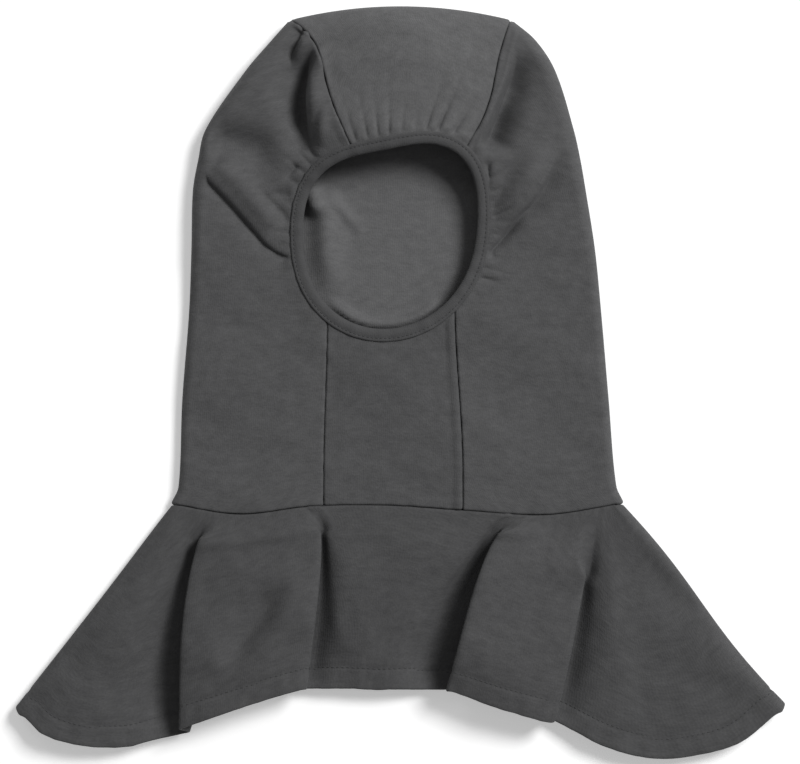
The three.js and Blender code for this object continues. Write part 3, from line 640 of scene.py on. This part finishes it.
def crown_grid():
    """Crown panel: from the face opening over the crown and down the back to the neck."""
    u = np.linspace(0, 1, CROWN_STEPS["across"] + 1)
    foot_x, foot_y = face_point(mix(CROWN_ANGLE[-1], CROWN_ANGLE[1], u), RIM_EDGE)

    def front_x(y):
        left = crown_seam_x(-1, y) + slanted(crown_seam_x, -1, y)
        right = crown_seam_x(1, y) - slanted(crown_seam_x, 1, y)
        return mix(left, right, u)

    def back_x(y):
        return mix(back_seam_x(-1, y) + SEAM_INSET, back_seam_x(1, y) - SEAM_INSET, u)

    brow = crown_top(mix(-CORNER_X, CORNER_X, u)) - CROWN_FOLD
    aside = foot_x + mix(SEAM_INSET, -SEAM_INSET, u) - front_x(foot_y)
    columns = []
    for t in np.linspace(0, 1, CROWN_STEPS["front"] + 1):
        y = mix(foot_y, brow, t)
        columns.append(hood_point(front_x(y) + aside * (1 - smooth(t * RIM_EASE["crown"])), y, True))
    for a in np.linspace(0, math.pi, CROWN_STEPS["fold"] + 1)[1:-1]:
        y = brow + CROWN_FOLD * math.sin(a)
        is_front = a < math.pi / 2
        columns.append(hood_point(front_x(y) if is_front else back_x(y), y, is_front))
    for t in np.linspace(0, 1, CROWN_STEPS["back"] + 1):
        y = mix(brow, NECK_Y + SEAM_INSET, t)
        columns.append(hood_point(back_x(y), y, False))
    return seamed_strip(columns, facing=1)


def throat_grid():
    """Throat panel: from the face opening down the front of the neck."""
    u = np.linspace(0, 1, THROAT_STEPS["across"] + 1)
    rim_x, rim_y = face_point(mix(THROAT_ANGLE[-1], THROAT_ANGLE[1], u), RIM_EDGE)

    def seam_x(y):
        return mix(throat_seam_x(-1, y) + SEAM_INSET, throat_seam_x(1, y) - SEAM_INSET, u)

    aside = rim_x + mix(SEAM_INSET, -SEAM_INSET, u) - seam_x(rim_y)
    columns = []
    for t in np.linspace(0, 1, THROAT_STEPS["down"] + 1):
        y = mix(rim_y, NECK_Y + SEAM_INSET, t ** THROAT_CROWDING)
        columns.append(hood_point(seam_x(y) + aside * (1 - smooth(t * RIM_EASE["throat"])), y, True))
    return seamed_strip(columns, facing=-1)


def side_rows(side):
    """Inner edge of a side panel from neck to crown: y, x, the share that its seam turns in, and the share of
    the seam's cloth that reaches the edge, which is less where the edge runs across the rows."""
    _, throat_y = face_point(THROAT_ANGLE[side], RIM_EDGE)
    _, foot_y = face_point(CROWN_ANGLE[side], RIM_EDGE)
    neck_y = np.linspace(NECK_Y + SEAM_INSET, throat_y, SIDE_ROWS["neck"] + 1)[:-1]
    crown_angle = CROWN_ANGLE[side] + (360 if side > 0 else 0)
    rim_x, rim_y = face_point(np.linspace(THROAT_ANGLE[side], crown_angle, SIDE_ROWS["rim"] + 1), RIM_EDGE)
    crown_y = np.linspace(foot_y, crown_top(CORNER_X) - CORNER_GAP, SIDE_ROWS["crown"] + 1)[1:]
    y = np.concatenate([neck_y, rim_y, crown_y])
    x = np.concatenate([throat_seam_x(side, neck_y), rim_x, crown_seam_x(side, crown_y)])
    from_rim = np.concatenate([throat_y - neck_y, np.zeros_like(rim_y), crown_y - foot_y])
    slant = np.concatenate([
        slanted(throat_seam_x, side, neck_y),
        np.full_like(rim_y, SEAM_INSET),
        slanted(crown_seam_x, side, crown_y),
    ])
    share = smooth(from_rim / SEAM_START)
    along_x, along_y = np.gradient(x), np.gradient(y)
    steep = np.abs(along_y) / np.hypot(along_x, along_y)
    return y, x + side * mix(TURN_LENGTH, slant, share), share, mix(steep, 1, share)


def side_grid(side):
    """Side panel: from its front seams and the face opening round the side fold to the back seam."""
    ys, xs, share, reach = side_rows(side)
    edges = hood_column("right" if side > 0 else "left", ys)
    radii = hood_column("fold", ys) / 2
    rows = []
    for y, x, edge, radius in zip(ys, xs, edges, radii):
        bend = radius * math.pi / 2

        def cloth_to(inward):
            inward = max(inward, SIDE_LEAST)
            return radius * math.acos(1 - inward / radius) if inward < radius else bend + inward - radius

        def inward_at(cloth):
            cloth = np.abs(cloth)
            return np.where(cloth < bend, radius * (1 - np.cos(cloth / radius)), cloth - bend + radius)

        front = cloth_to(abs(edge - x) if side * (edge - x) > 0 else 0)
        back = cloth_to(abs(edge - back_seam_x(side, y)) - SEAM_INSET)
        front_bend = min(bend, front * SIDE_FOLD_SHARE)
        back_bend = min(bend, back * SIDE_FOLD_SHARE)
        front_part = np.linspace(-front, -front_bend, SIDE_COLUMNS["front"] + 1)[:-1]
        fold_part = np.linspace(-front_bend, back_bend, SIDE_COLUMNS["fold"] + 1)
        back_part = np.linspace(back_bend, back, SIDE_COLUMNS["back"] + 1)[1:]
        on_front = np.concatenate([front_part, fold_part[fold_part < 0]])
        on_back = np.concatenate([fold_part[fold_part >= 0], back_part])
        rows.append(np.concatenate([
            np.stack([edge - side * inward_at(on_front), np.full_like(on_front, y), on_front * 0], -1),
            np.stack([edge - side * inward_at(on_back), np.full_like(on_back, y), on_back * 0 + 1], -1),
        ]))
    places = np.stack(rows)
    is_back = places[..., 2:] > 0
    front_points = hood_point(places[..., 0], places[..., 1], True)
    back_points = hood_point(places[..., 0], places[..., 1], False)
    grid = settled(np.where(is_back, back_points, front_points))
    facing = 1 if side < 0 else -1
    grid = turned_in(grid, facing)
    grid = turned_in_first(grid, facing, share, reach=reach)
    return across_grid(turned_in_first(across_grid(grid), -facing)), facing


def drape_rib(rib, t, is_front=True, hem_z=DRAPE_LIE):
    neck = hood_point(rib.neck_x, NECK_Y, is_front)
    neck[1] = NECK_Y - SEAM_INSET
    hem = np.array([rib.hem_x, rib.hem_y, hem_z], float)
    points = mix(neck, hem, t[:, None])
    points[:, 2] += rib.rise * np.sin(math.pi * t) + rib.lift * t
    return points


def edge_column(name, t):
    return curve_through([row.share for row in EDGE], [getattr(row, name) for row in EDGE], t)


def edge_sink(t, edge):
    return smooth(t / edge.full) * edge_column("sink", t)


def edge_section(t, edge):
    """Section of a flute's edge at shares of the drape's depth: seven points from the flute's foot to its
    top. The cloth turns up, runs straight and turns level again. Its outermost line is at 0."""
    angle = math.radians(edge.angle) * np.maximum(smooth(t / edge.full), EDGE_LEAST)
    radius = edge_column("turn", t) / angle
    straight = edge.long * edge_column("straight", t)

    def turned(share):
        return np.stack([radius * np.sin(angle * share), radius * (1 - np.cos(angle * share))], axis=-1)

    heading = np.stack([np.cos(angle), np.sin(angle)], axis=-1)
    middle = turned(1) + heading * straight[:, None] / 2
    lower = [turned(0), turned(0.5), turned(1)]
    upper = [2 * middle - p for p in reversed(lower)]
    upright = math.pi / 2
    outermost = np.where(angle > upright, radius - 2 * middle[:, 0], -radius * angle / upright)
    aside = np.stack([outermost, np.zeros_like(t)], axis=-1)
    return [p + aside for p in lower + [middle] + upper]


def flute_edge_ribs(edge, inward, t):
    ribs = []
    way = 1 - (1 - t) ** edge.bend
    edge_x = mix(edge.neck_x, edge.hem_x, way) + edge.bulge * np.sin(math.pi * t ** BULGE_EARLY)
    sections = edge_section(t, edge)
    foot_x = np.minimum(sections[0][:, 0], 0)
    width = mix(*VALLEY_WIDTH, smooth(t / VALLEY_FULL))
    sink = edge_sink(t, edge)
    places = []
    for out, share in VALLEY[inward]:
        place = np.stack([foot_x - width * out, sink * (1 - share)], axis=-1)
        places.append((place, mix(edge.foot_y, edge.shoulder_y, out)))
    for k, section in enumerate(sections):
        places.append((section, mix(edge.foot_y, edge.hem_y, k / (len(sections) - 1))))
    for place, hem_y in places:
        flat = drape_rib(Rib(edge.neck_x + inward * place[0, 0], edge.hem_x, hem_y), t)
        flat[:, 0] = edge_x + inward * place[:, 0]
        flat[:, 2] += place[:, 1] - sink
        ribs.append(flat)
    return ribs


def flute_ribs(left, right, t):
    middle = Rib(
        (left.neck_x + right.neck_x) / 2,
        (left.hem_x + right.hem_x) / 2,
        mix(left.hem_y, right.hem_y, CREST_SAG),
    )
    crest = drape_rib(middle, t)
    crest[:, 2] += edge_section(t, right)[-1][:, 1] - edge_sink(t, right) + CREST_ABOVE * t
    return flute_edge_ribs(left, 1, t) + [crest] + flute_edge_ribs(right, -1, t)[::-1]


def side_fold_ribs(side, t):
    edge = float(hood_column("right" if side > 0 else "left", NECK_Y))
    radius = float(hood_column("fold", NECK_Y)) / 2
    tip_x, tip_y = WING_TIP[side]
    tip_radius = (DRAPE_LIE - HALF) / 2
    ribs = []
    for a in np.linspace(0, math.pi, SIDE_FOLD_RIBS):
        neck_x = edge - side * radius * (1 - math.sin(a))
        hem_x = tip_x - side * tip_radius * (1 - math.sin(a))
        hem_z = HALF + tip_radius * (1 + math.cos(a))
        hem_y = tip_y + TIP_ROUND * math.sin(a) ** 3
        rib = drape_rib(Rib(neck_x, hem_x, hem_y), t, a < math.pi / 2, hem_z)
        rib[:, 0] += side * WING_WAVE[side] * np.sin(math.tau * t)
        ribs.append(rib)
    return ribs


def back_rib(rib, t):
    neck_x = mix(HOOD[-1].right, HOOD[-1].left, rib.neck)
    hem_x = mix(WING_TIP[1][0], WING_TIP[-1][0], rib.hem)
    return drape_rib(Rib(neck_x, hem_x, rib.hem_y), t, False, HALF)


def ring_curve(ribs, least):
    """Points on a closed smooth curve through the ribs, about one cell apart at the hem. least: lowest
    height of the curve after each rib."""
    count = len(ribs)
    runs = []
    for k in range(count):
        a, b, c, d = (ribs[(k + step) % count] for step in (-1, 0, 1, 2))
        gap_a, gap_b, gap_c = (np.sqrt(np.linalg.norm(q - p, axis=-1, keepdims=True))
                               for p, q in ((a, b), (b, c), (c, d)))
        start = (b - a) / gap_a - (c - a) / (gap_a + gap_b) + (c - b) / gap_b
        end = (c - b) / gap_b - (d - b) / (gap_b + gap_c) + (d - c) / gap_c
        steps = max(2, round(np.linalg.norm(c[-1] - b[-1]) / CELL))
        for s in np.arange(steps) / steps:
            bend = (start * (1 - s) - end * s) * gap_b
            points = mix(b, c, smooth(s)) + bend * s * (1 - s)
            points[:, 2] = np.maximum(points[:, 2], least[k])
            runs.append(points)
    return np.stack(runs)


def drape_grid():
    """Drape: one ring of cloth from the neck seam to the hem, fluted in front and plain behind."""
    hem_share = HEM / (NECK_Y - MIDDLE.hem_y)
    t = np.concatenate([
        np.linspace(0, 1 - hem_share, DRAPE_ROWS["cloth"] + 1)[:-1],
        np.linspace(1 - hem_share, 1, DRAPE_ROWS["hem"] + 1),
    ])
    left, right = side_fold_ribs(-1, t)[::-1], side_fold_ribs(1, t)
    front = [drape_rib(rib, t) for rib in LEFT_WING]
    front += flute_ribs(*FLUTES[0], t) + [drape_rib(MIDDLE, t)] + flute_ribs(*FLUTES[1], t)
    front += [drape_rib(rib, t) for rib in RIGHT_WING]
    back = [back_rib(rib, t) for rib in BACK]
    front_least = mix(*DRAPE_FRONT_LEAST, smooth(2 - (1 - t) / hem_share))
    least = [HALF] * len(left) + [front_least] * len(front) + [HALF] * len(right + back)
    grid = ring_curve(left + front + right + back, least)
    x, y, z = np.moveaxis(grid, -1, 0)
    fall, swell, _, _ = crease_sums(DENTS, x, y)
    lift = sum(ripples(x, y, uneven) for uneven in DRAPE_UNEVEN) + swell - fall
    high = smooth((z - DRAPE_LIE / 2) / (DRAPE_LIE / 2)) * smooth((NECK_Y - y) / DRAPE_UNEVEN_START)
    grid = settled(np.stack([x, y, np.maximum(z + lift * high, HALF)], axis=-1))
    facing = -1
    return turned_in_first(grid, facing, is_ring=True), facing


def lengths_from_last(grid):
    """Length of cloth from each point of a grid to the last column."""
    steps = np.linalg.norm(np.diff(grid, axis=1), axis=-1)
    return np.concatenate([np.cumsum(steps[:, ::-1], axis=1)[:, ::-1], np.zeros((len(grid), 1))], axis=1)


def linked(name, data):
    made = bpy.data.objects.new(name, data)
    bpy.context.scene.collection.objects.link(made)
    return made


def strip_quads(rows, around, is_ring):
    """Faces between rows of points that each run round a loop. is_ring: the last row joins the first."""
    i = np.arange(rows if is_ring else rows - 1)[:, None]
    j = np.arange(around)[None, :]
    here, there = i * around, (i + 1) % rows * around
    after = (j + 1) % around
    return np.stack([here + j, there + j, there + after, here + after], axis=-1).reshape(-1, 4)


def mesh_object(name, points, faces, uv, *materials):
    points = points * MM
    points[:, 2] = np.maximum(points[:, 2], 0)
    mesh = bpy.data.meshes.new(name)
    mesh.from_pydata(points.tolist(), [], faces)
    mesh.validate()
    layer = mesh.uv_layers.new(name="cloth")
    corners = np.zeros(len(mesh.loops), dtype=np.int32)
    mesh.loops.foreach_get("vertex_index", corners)
    layer.data.foreach_set("uv", (uv[corners] * MM).ravel())
    mesh.shade_smooth()
    for material in materials:
        mesh.materials.append(material)
    return linked(name, mesh)


def cloth_piece(name, grid, facing, materials, is_ring=False, outer=HALF, inner=HALF, rows_run_up=False):
    """A closed wall of cloth about a grid of points on its middle, with round edges. materials: of its outer
    and inner faces. Its courses of knit run from row to row, or along each row if the rows are stacked up."""
    rows, columns, _ = grid.shape
    outer = np.broadcast_to(outer, (rows, columns))[..., None]
    inner = np.broadcast_to(inner, (rows, columns))[..., None]
    normal = facing * grid_normals(grid, is_ring)
    top = grid + normal * outer
    under = grid - normal * inner

    def rounding(end, before, way):
        centre = (top[:, end] + under[:, end]) / 2
        half = (outer[:, end] + inner[:, end]) / 2
        away = unit(grid[:, end] - grid[:, before])
        angles = np.linspace(0, math.pi, EDGE_STEPS + 2)[1:-1]
        points = [centre + half * (way * normal[:, end] * math.cos(a) + away * math.sin(a)) for a in angles]
        return np.stack(points, axis=1)

    loop = np.concatenate([top, rounding(-1, -2, 1), under[:, ::-1], rounding(0, 1, -1)], axis=1)
    around = loop.shape[1]
    width = np.concatenate([[0], np.cumsum(np.linalg.norm(np.diff(grid, axis=0), axis=-1).mean(axis=1))])
    depth = lengths_from_last(grid)
    ends = np.repeat(depth[:, -1:], EDGE_STEPS, axis=1)
    starts = np.repeat(depth[:, :1], EDGE_STEPS, axis=1)
    down = np.concatenate([depth, ends, depth[:, ::-1], starts], axis=1)
    across = np.broadcast_to(width[:, None], down.shape)
    uv = np.stack([down, across] if rows_run_up else [across, down], axis=-1).reshape(-1, 2)

    quads = strip_quads(rows, around, is_ring)
    j = np.arange(len(quads)) % around
    is_inner = (j >= columns + EDGE_STEPS) & (j < 2 * columns + EDGE_STEPS)
    faces = (quads if facing > 0 else quads[:, ::-1]).tolist()
    if not is_ring:
        for row, is_turned in ((0, facing < 0), (rows - 1, facing > 0)):
            cap = row_cap(row * around, columns)
            faces += [face[::-1] for face in cap] if is_turned else cap
    piece = mesh_object(name, loop.reshape(-1, 3), faces, uv, *materials)
    sides = np.zeros(len(piece.data.polygons), dtype=np.int32)
    sides[:len(quads)] = is_inner
    piece.data.polygons.foreach_set("material_index", sides)
    return piece


def row_cap(first, columns):
    """Faces that close the cut end of a row's loop."""
    under = first + 2 * columns + EDGE_STEPS - 1
    cap = [[first + j, first + j + 1, under - j - 1, under - j] for j in range(columns - 1)]
    cap.append([first + columns - 1 + k for k in range(EDGE_STEPS + 2)])
    cap.append([under + k for k in range(EDGE_STEPS + 1)] + [first])
    return cap


def stitch_line(name, line, normals, stitch, material):
    """Stitches along a closed line on a surface, each a short bowed thread that dips into the cloth."""
    ring = np.concatenate([line, line[:1]])
    ring_normals = np.concatenate([normals, normals[:1]])
    at = np.concatenate([[0], np.cumsum(np.linalg.norm(np.diff(ring, axis=0), axis=1))])
    count = round(at[-1] / stitch.pitch)
    pitch = at[-1] / count
    shares, thick, rise = np.array(STITCH_SHAPE).T
    thick, rise = thick * stitch.radius, rise * stitch.radius
    sides = STITCH_SIDES
    places = (np.arange(count)[:, None] * pitch + shares * stitch.length).ravel()

    def read(values, places, period=None):
        return np.stack([np.interp(places, at, values[:, k], period=period) for k in range(3)], axis=-1)

    middle = read(ring, places)
    up = unit(read(ring_normals, places))
    across = unit(np.cross(up, read(ring, places + STITCH_AHEAD, at[-1]) - middle))
    middle = middle + up * np.tile(rise, count)[:, None]
    radius = np.tile(thick, count)[:, None, None]
    turn = np.linspace(0, math.tau, sides, endpoint=False)
    circle = np.cos(turn)[:, None] * across[:, None] + np.sin(turn)[:, None] * up[:, None]
    points = (middle[:, None] + radius * circle).reshape(-1, 3)
    per_stitch = len(shares) * sides
    tube = np.roll(strip_quads(len(shares), sides, False)[:, ::-1], 1, axis=1)
    caps = np.array([range(sides)[::-1], range(per_stitch - sides, per_stitch)])
    faces = []
    for base in range(0, count * per_stitch, per_stitch):
        faces += (tube + base).tolist() + (caps + base).tolist()
    round_thread = np.tile(np.arange(sides), len(places)) * STITCH_UV_STEP
    uv = np.stack([np.repeat(places, sides), round_thread], axis=-1)
    return mesh_object(name, points, faces, uv, material)


def front_normal(x, y):
    def height(x, y):
        return hood_point(x, y, True)[..., 2]

    slope_x = height(x + 0.5, y) - height(x - 0.5, y)
    slope_y = height(x, y + 0.5) - height(x, y - 0.5)
    return unit(np.stack([-slope_x, -slope_y, np.ones_like(slope_x)], axis=-1))


def binding_point(degrees, out, up):
    x, y = face_point(degrees, out)
    uneven = waves_at(BINDING_UNEVEN, np.radians(degrees))
    normal = front_normal(x, y)
    return hood_point(x, y, True) + normal * (up + uneven * np.sign(up))[..., None], normal


def binding_piece(material):
    """Binding: a strip folded over the panels' edge all round the face opening."""
    degrees = np.linspace(0, 360, BINDING_STEPS, endpoint=False)[:, None]
    out, up = np.array(BINDING_SECTION).T
    degrees, out, up = np.broadcast_arrays(degrees, out[None], up[None])
    points, _ = binding_point(degrees, out, up)
    faces = strip_quads(BINDING_STEPS, len(BINDING_SECTION), True).tolist()
    length = np.linalg.norm(np.diff(points[:, 0], axis=0), axis=1).sum()
    section = np.concatenate([[0], np.cumsum(np.hypot(np.diff(out[0]), np.diff(up[0])))])
    uv = np.stack(np.broadcast_arrays(degrees / 360 * length, section[None]), axis=-1).reshape(-1, 2)
    return mesh_object("face_binding_cloth", points.reshape(-1, 3), faces, uv, material)


def node(tree, kind, **settings):
    made = tree.nodes.new(kind)
    for name, value in settings.items():
        setattr(made, name, value)
    return made


def set_inputs(made, values):
    for name, value in values.items():
        made.inputs[name].default_value = value


def new_material(name, values):
    """A material, its nodes and its shader with these values."""
    material = bpy.data.materials.new(name)
    material.use_nodes = True
    shader = material.node_tree.nodes["Principled BSDF"]
    set_inputs(shader, values)
    return material, material.node_tree, shader


def tone_ramp(tree, shader, fac, light, dark, places=(0, 1)):
    """Colours a shader from dark to light by a value."""
    ramp = node(tree, "ShaderNodeValToRGB")
    for element, place, tone in zip(ramp.color_ramp.elements, places, (dark, light)):
        element.position = place
        element.color = (*tone, 1)
    tree.links.new(fac, ramp.inputs["Fac"])
    tree.links.new(ramp.outputs["Color"], shader.inputs["Base Color"])


def knit_material(name, knit):
    """Fine jersey knit: heather in the yarn, streaks along the courses and rows of loops."""
    material, tree, shader = new_material(name, KNIT_SHADER)
    link = tree.links.new
    cloth = node(tree, "ShaderNodeUVMap", uv_map="cloth")

    def noise_node(noise):
        place = node(tree, "ShaderNodeMapping")
        place.inputs["Scale"].default_value = (noise.stretch, 1, 1)
        link(cloth.outputs["UV"], place.inputs["Vector"])
        made = node(tree, "ShaderNodeTexNoise")
        set_inputs(made, {"Scale": noise.scale, "Detail": noise.detail})
        link(place.outputs["Vector"], made.inputs["Vector"])
        return made.outputs["Fac"]

    def math_node(operation, a, b):
        made = node(tree, "ShaderNodeMath", operation=operation)
        for socket, value in zip(made.inputs, (a, b)):
            if isinstance(value, (int, float)):
                socket.default_value = value
            else:
                link(value, socket)
        return made.outputs[0]

    def added(parts):
        total, *others = [math_node("MULTIPLY", value, share) for value, share in parts]
        for other in others:
            total = math_node("ADD", total, other)
        return total

    noises = {key: noise_node(noise) for key, noise in NOISES.items()}
    blend = added([(noises[key], noise.share) for key, noise in NOISES.items()])
    tone_ramp(tree, shader, blend, knit.light, knit.dark, TONES_AT)

    parts = node(tree, "ShaderNodeSeparateXYZ")
    link(cloth.outputs["UV"], parts.inputs["Vector"])
    wander = math_node("MULTIPLY", noises["mottle"], LOOP_WANDER)
    wale_turn = math_node("MULTIPLY", parts.outputs["X"], math.tau / (knit.loop * MM))
    course_turn = math_node("MULTIPLY", parts.outputs["Y"], math.tau / (COURSE * knit.loop * MM))
    wales = math_node("SINE", math_node("ADD", wale_turn, wander), 0)
    courses = math_node("SINE", math_node("ADD", course_turn, wander), 0)
    loops = math_node("ADD", wales, math_node("MULTIPLY", courses, COURSE_SHARE))
    fuzz = added([(noises[key], share) for key, share in FUZZ.items()])
    bump = node(tree, "ShaderNodeBump")
    set_inputs(bump, KNIT_BUMP)
    link(math_node("ADD", math_node("MULTIPLY", loops, LOOP_HEIGHT), fuzz), bump.inputs["Height"])
    link(bump.outputs["Normal"], shader.inputs["Normal"])
    return material


def thread_material(name, light, dark):
    """Spun thread: a twist that runs round it, a little smoother than the cloth."""
    material, tree, shader = new_material(name, THREAD_SHADER)
    cloth = node(tree, "ShaderNodeUVMap", uv_map="cloth")
    twist = node(tree, "ShaderNodeTexWave")
    set_inputs(twist, THREAD_TWIST)
    tree.links.new(cloth.outputs["UV"], twist.inputs["Vector"])
    tone_ramp(tree, shader, twist.outputs["Fac"], light, dark)
    return material


# Materials.
hood_cloth = knit_material("hood_knit", HOOD_KNIT)
side_cloth = knit_material("side_knit", SIDE_KNIT)
# The crown's material is lighter than the hood's: a painted highlight on the crown.
crown_cloth = knit_material("crown_knit_painted_highlight", CROWN_KNIT_PAINTED_HIGHLIGHT)
inside_cloth = knit_material("inside_knit", INSIDE_KNIT)
drape_cloth = knit_material("drape_knit", DRAPE_KNIT)
binding_cloth = knit_material("binding_rib", BINDING_KNIT)
thread = thread_material("thread", *THREAD_TONES)

# Hood.
crown = cloth_piece("crown_cloth", *crown_grid(), [crown_cloth, inside_cloth])
throat = cloth_piece("throat_cloth", *throat_grid(), [hood_cloth, inside_cloth])
left_side = cloth_piece("side_cloth_left", *side_grid(-1), [side_cloth, inside_cloth], rows_run_up=True)
right_side = cloth_piece("side_cloth_right", *side_grid(1), [side_cloth, inside_cloth], rows_run_up=True)
binding = binding_piece(binding_cloth)
stitch_angles = np.linspace(0, 360, BINDING_STEPS, endpoint=False)
stitch_out = np.full_like(stitch_angles, BINDING_STITCH_OUT)
stitch_up = np.full_like(stitch_angles, BINDING_STITCH_UP)
binding_line, binding_up = binding_point(stitch_angles, stitch_out, stitch_up)
binding_thread = stitch_line("binding_stitches", binding_line, binding_up, BINDING_STITCH, thread)

# Drape.
drape_points, drape_facing = drape_grid()
from_hem = lengths_from_last(drape_points)
in_hem = smooth((HEM - from_hem) / HEM_STEP)
ring_at = np.broadcast_to(np.arange(len(drape_points))[:, None] * CELL, from_hem.shape)
hem_outer = HALF - HEM_GROOVE * bell((from_hem - HEM) / HEM_GROOVE_WIDTH)
hem_outer = hem_outer + in_hem * ripples(ring_at, from_hem * HEM_PUCKER_STRETCH, HEM_PUCKER)
hem_inner = HALF + HEM_CLOTH * in_hem
drape = cloth_piece("shoulder_drape_cloth", drape_points, drape_facing, [drape_cloth, drape_cloth],
                    is_ring=True, outer=hem_outer, inner=hem_inner)
drape_up = drape_facing * grid_normals(drape_points, True)
hem_rows = np.arange(len(drape_points))
hem_column = np.argmin(np.abs(from_hem - HEM), axis=1)
hem_line = drape_points[hem_rows, hem_column] + drape_up[hem_rows, hem_column] * (HALF - HEM_GROOVE)
hem_thread = stitch_line("hem_stitches", hem_line, drape_up[hem_rows, hem_column], HEM_STITCH, thread)


PIECES = [
    (crown, "crown_panel", "hood_cloth"),
    (throat, "throat_panel", "hood_cloth"),
    (left_side, "side_panel_left", "hood_cloth"),
    (right_side, "side_panel_right", "hood_cloth"),
    (binding, "face_binding", "binding_cloth"),
    (drape, "shoulder_drape", "drape_cloth"),
    (binding_thread, None, "binding_cloth"),
    (hem_thread, None, "drape_cloth"),
]
for piece, replaced, slot in PIECES:
    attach(piece, "root")
    if replaced:
        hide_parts(replaced)

# Studio.
floor_mesh = bpy.data.meshes.new("floor")
corners = [(HALF_FLOOR * x, HALF_FLOOR * y, 0) for x, y in ((-1, -1), (1, -1), (1, 1), (-1, 1))]
floor_mesh.from_pydata(corners, [], [(0, 1, 2, 3)])
floor_white, _, _ = new_material("floor_white", FLOOR_SHADER)
floor_mesh.materials.append(floor_white)
floor = linked("floor", floor_mesh)

camera_data = bpy.data.cameras.new("camera")
camera_data.lens = camera_data.sensor_width * (CAMERA_PLACE[2] - VIEW_PLANE) / VIEW_WIDTH
camera = linked("camera", camera_data)
camera.location = CAMERA_PLACE
bpy.context.scene.camera = camera

for lamp in LAMPS:
    lamp_data = bpy.data.lights.new(lamp.name, "AREA")
    lamp_data.size = lamp.size
    lamp_data.energy = lamp.watts
    light = linked(lamp.name, lamp_data)
    light.location = lamp.place
    light.rotation_mode = "QUATERNION"
    light.rotation_quaternion = (-light.location).to_track_quat("-Z", "Y")

world = bpy.data.worlds.new("studio")
world.use_nodes = True
set_inputs(world.node_tree.nodes["Background"], WORLD_GLOW)
bpy.context.scene.world = world
bpy.context.scene.view_settings.view_transform = "Standard"
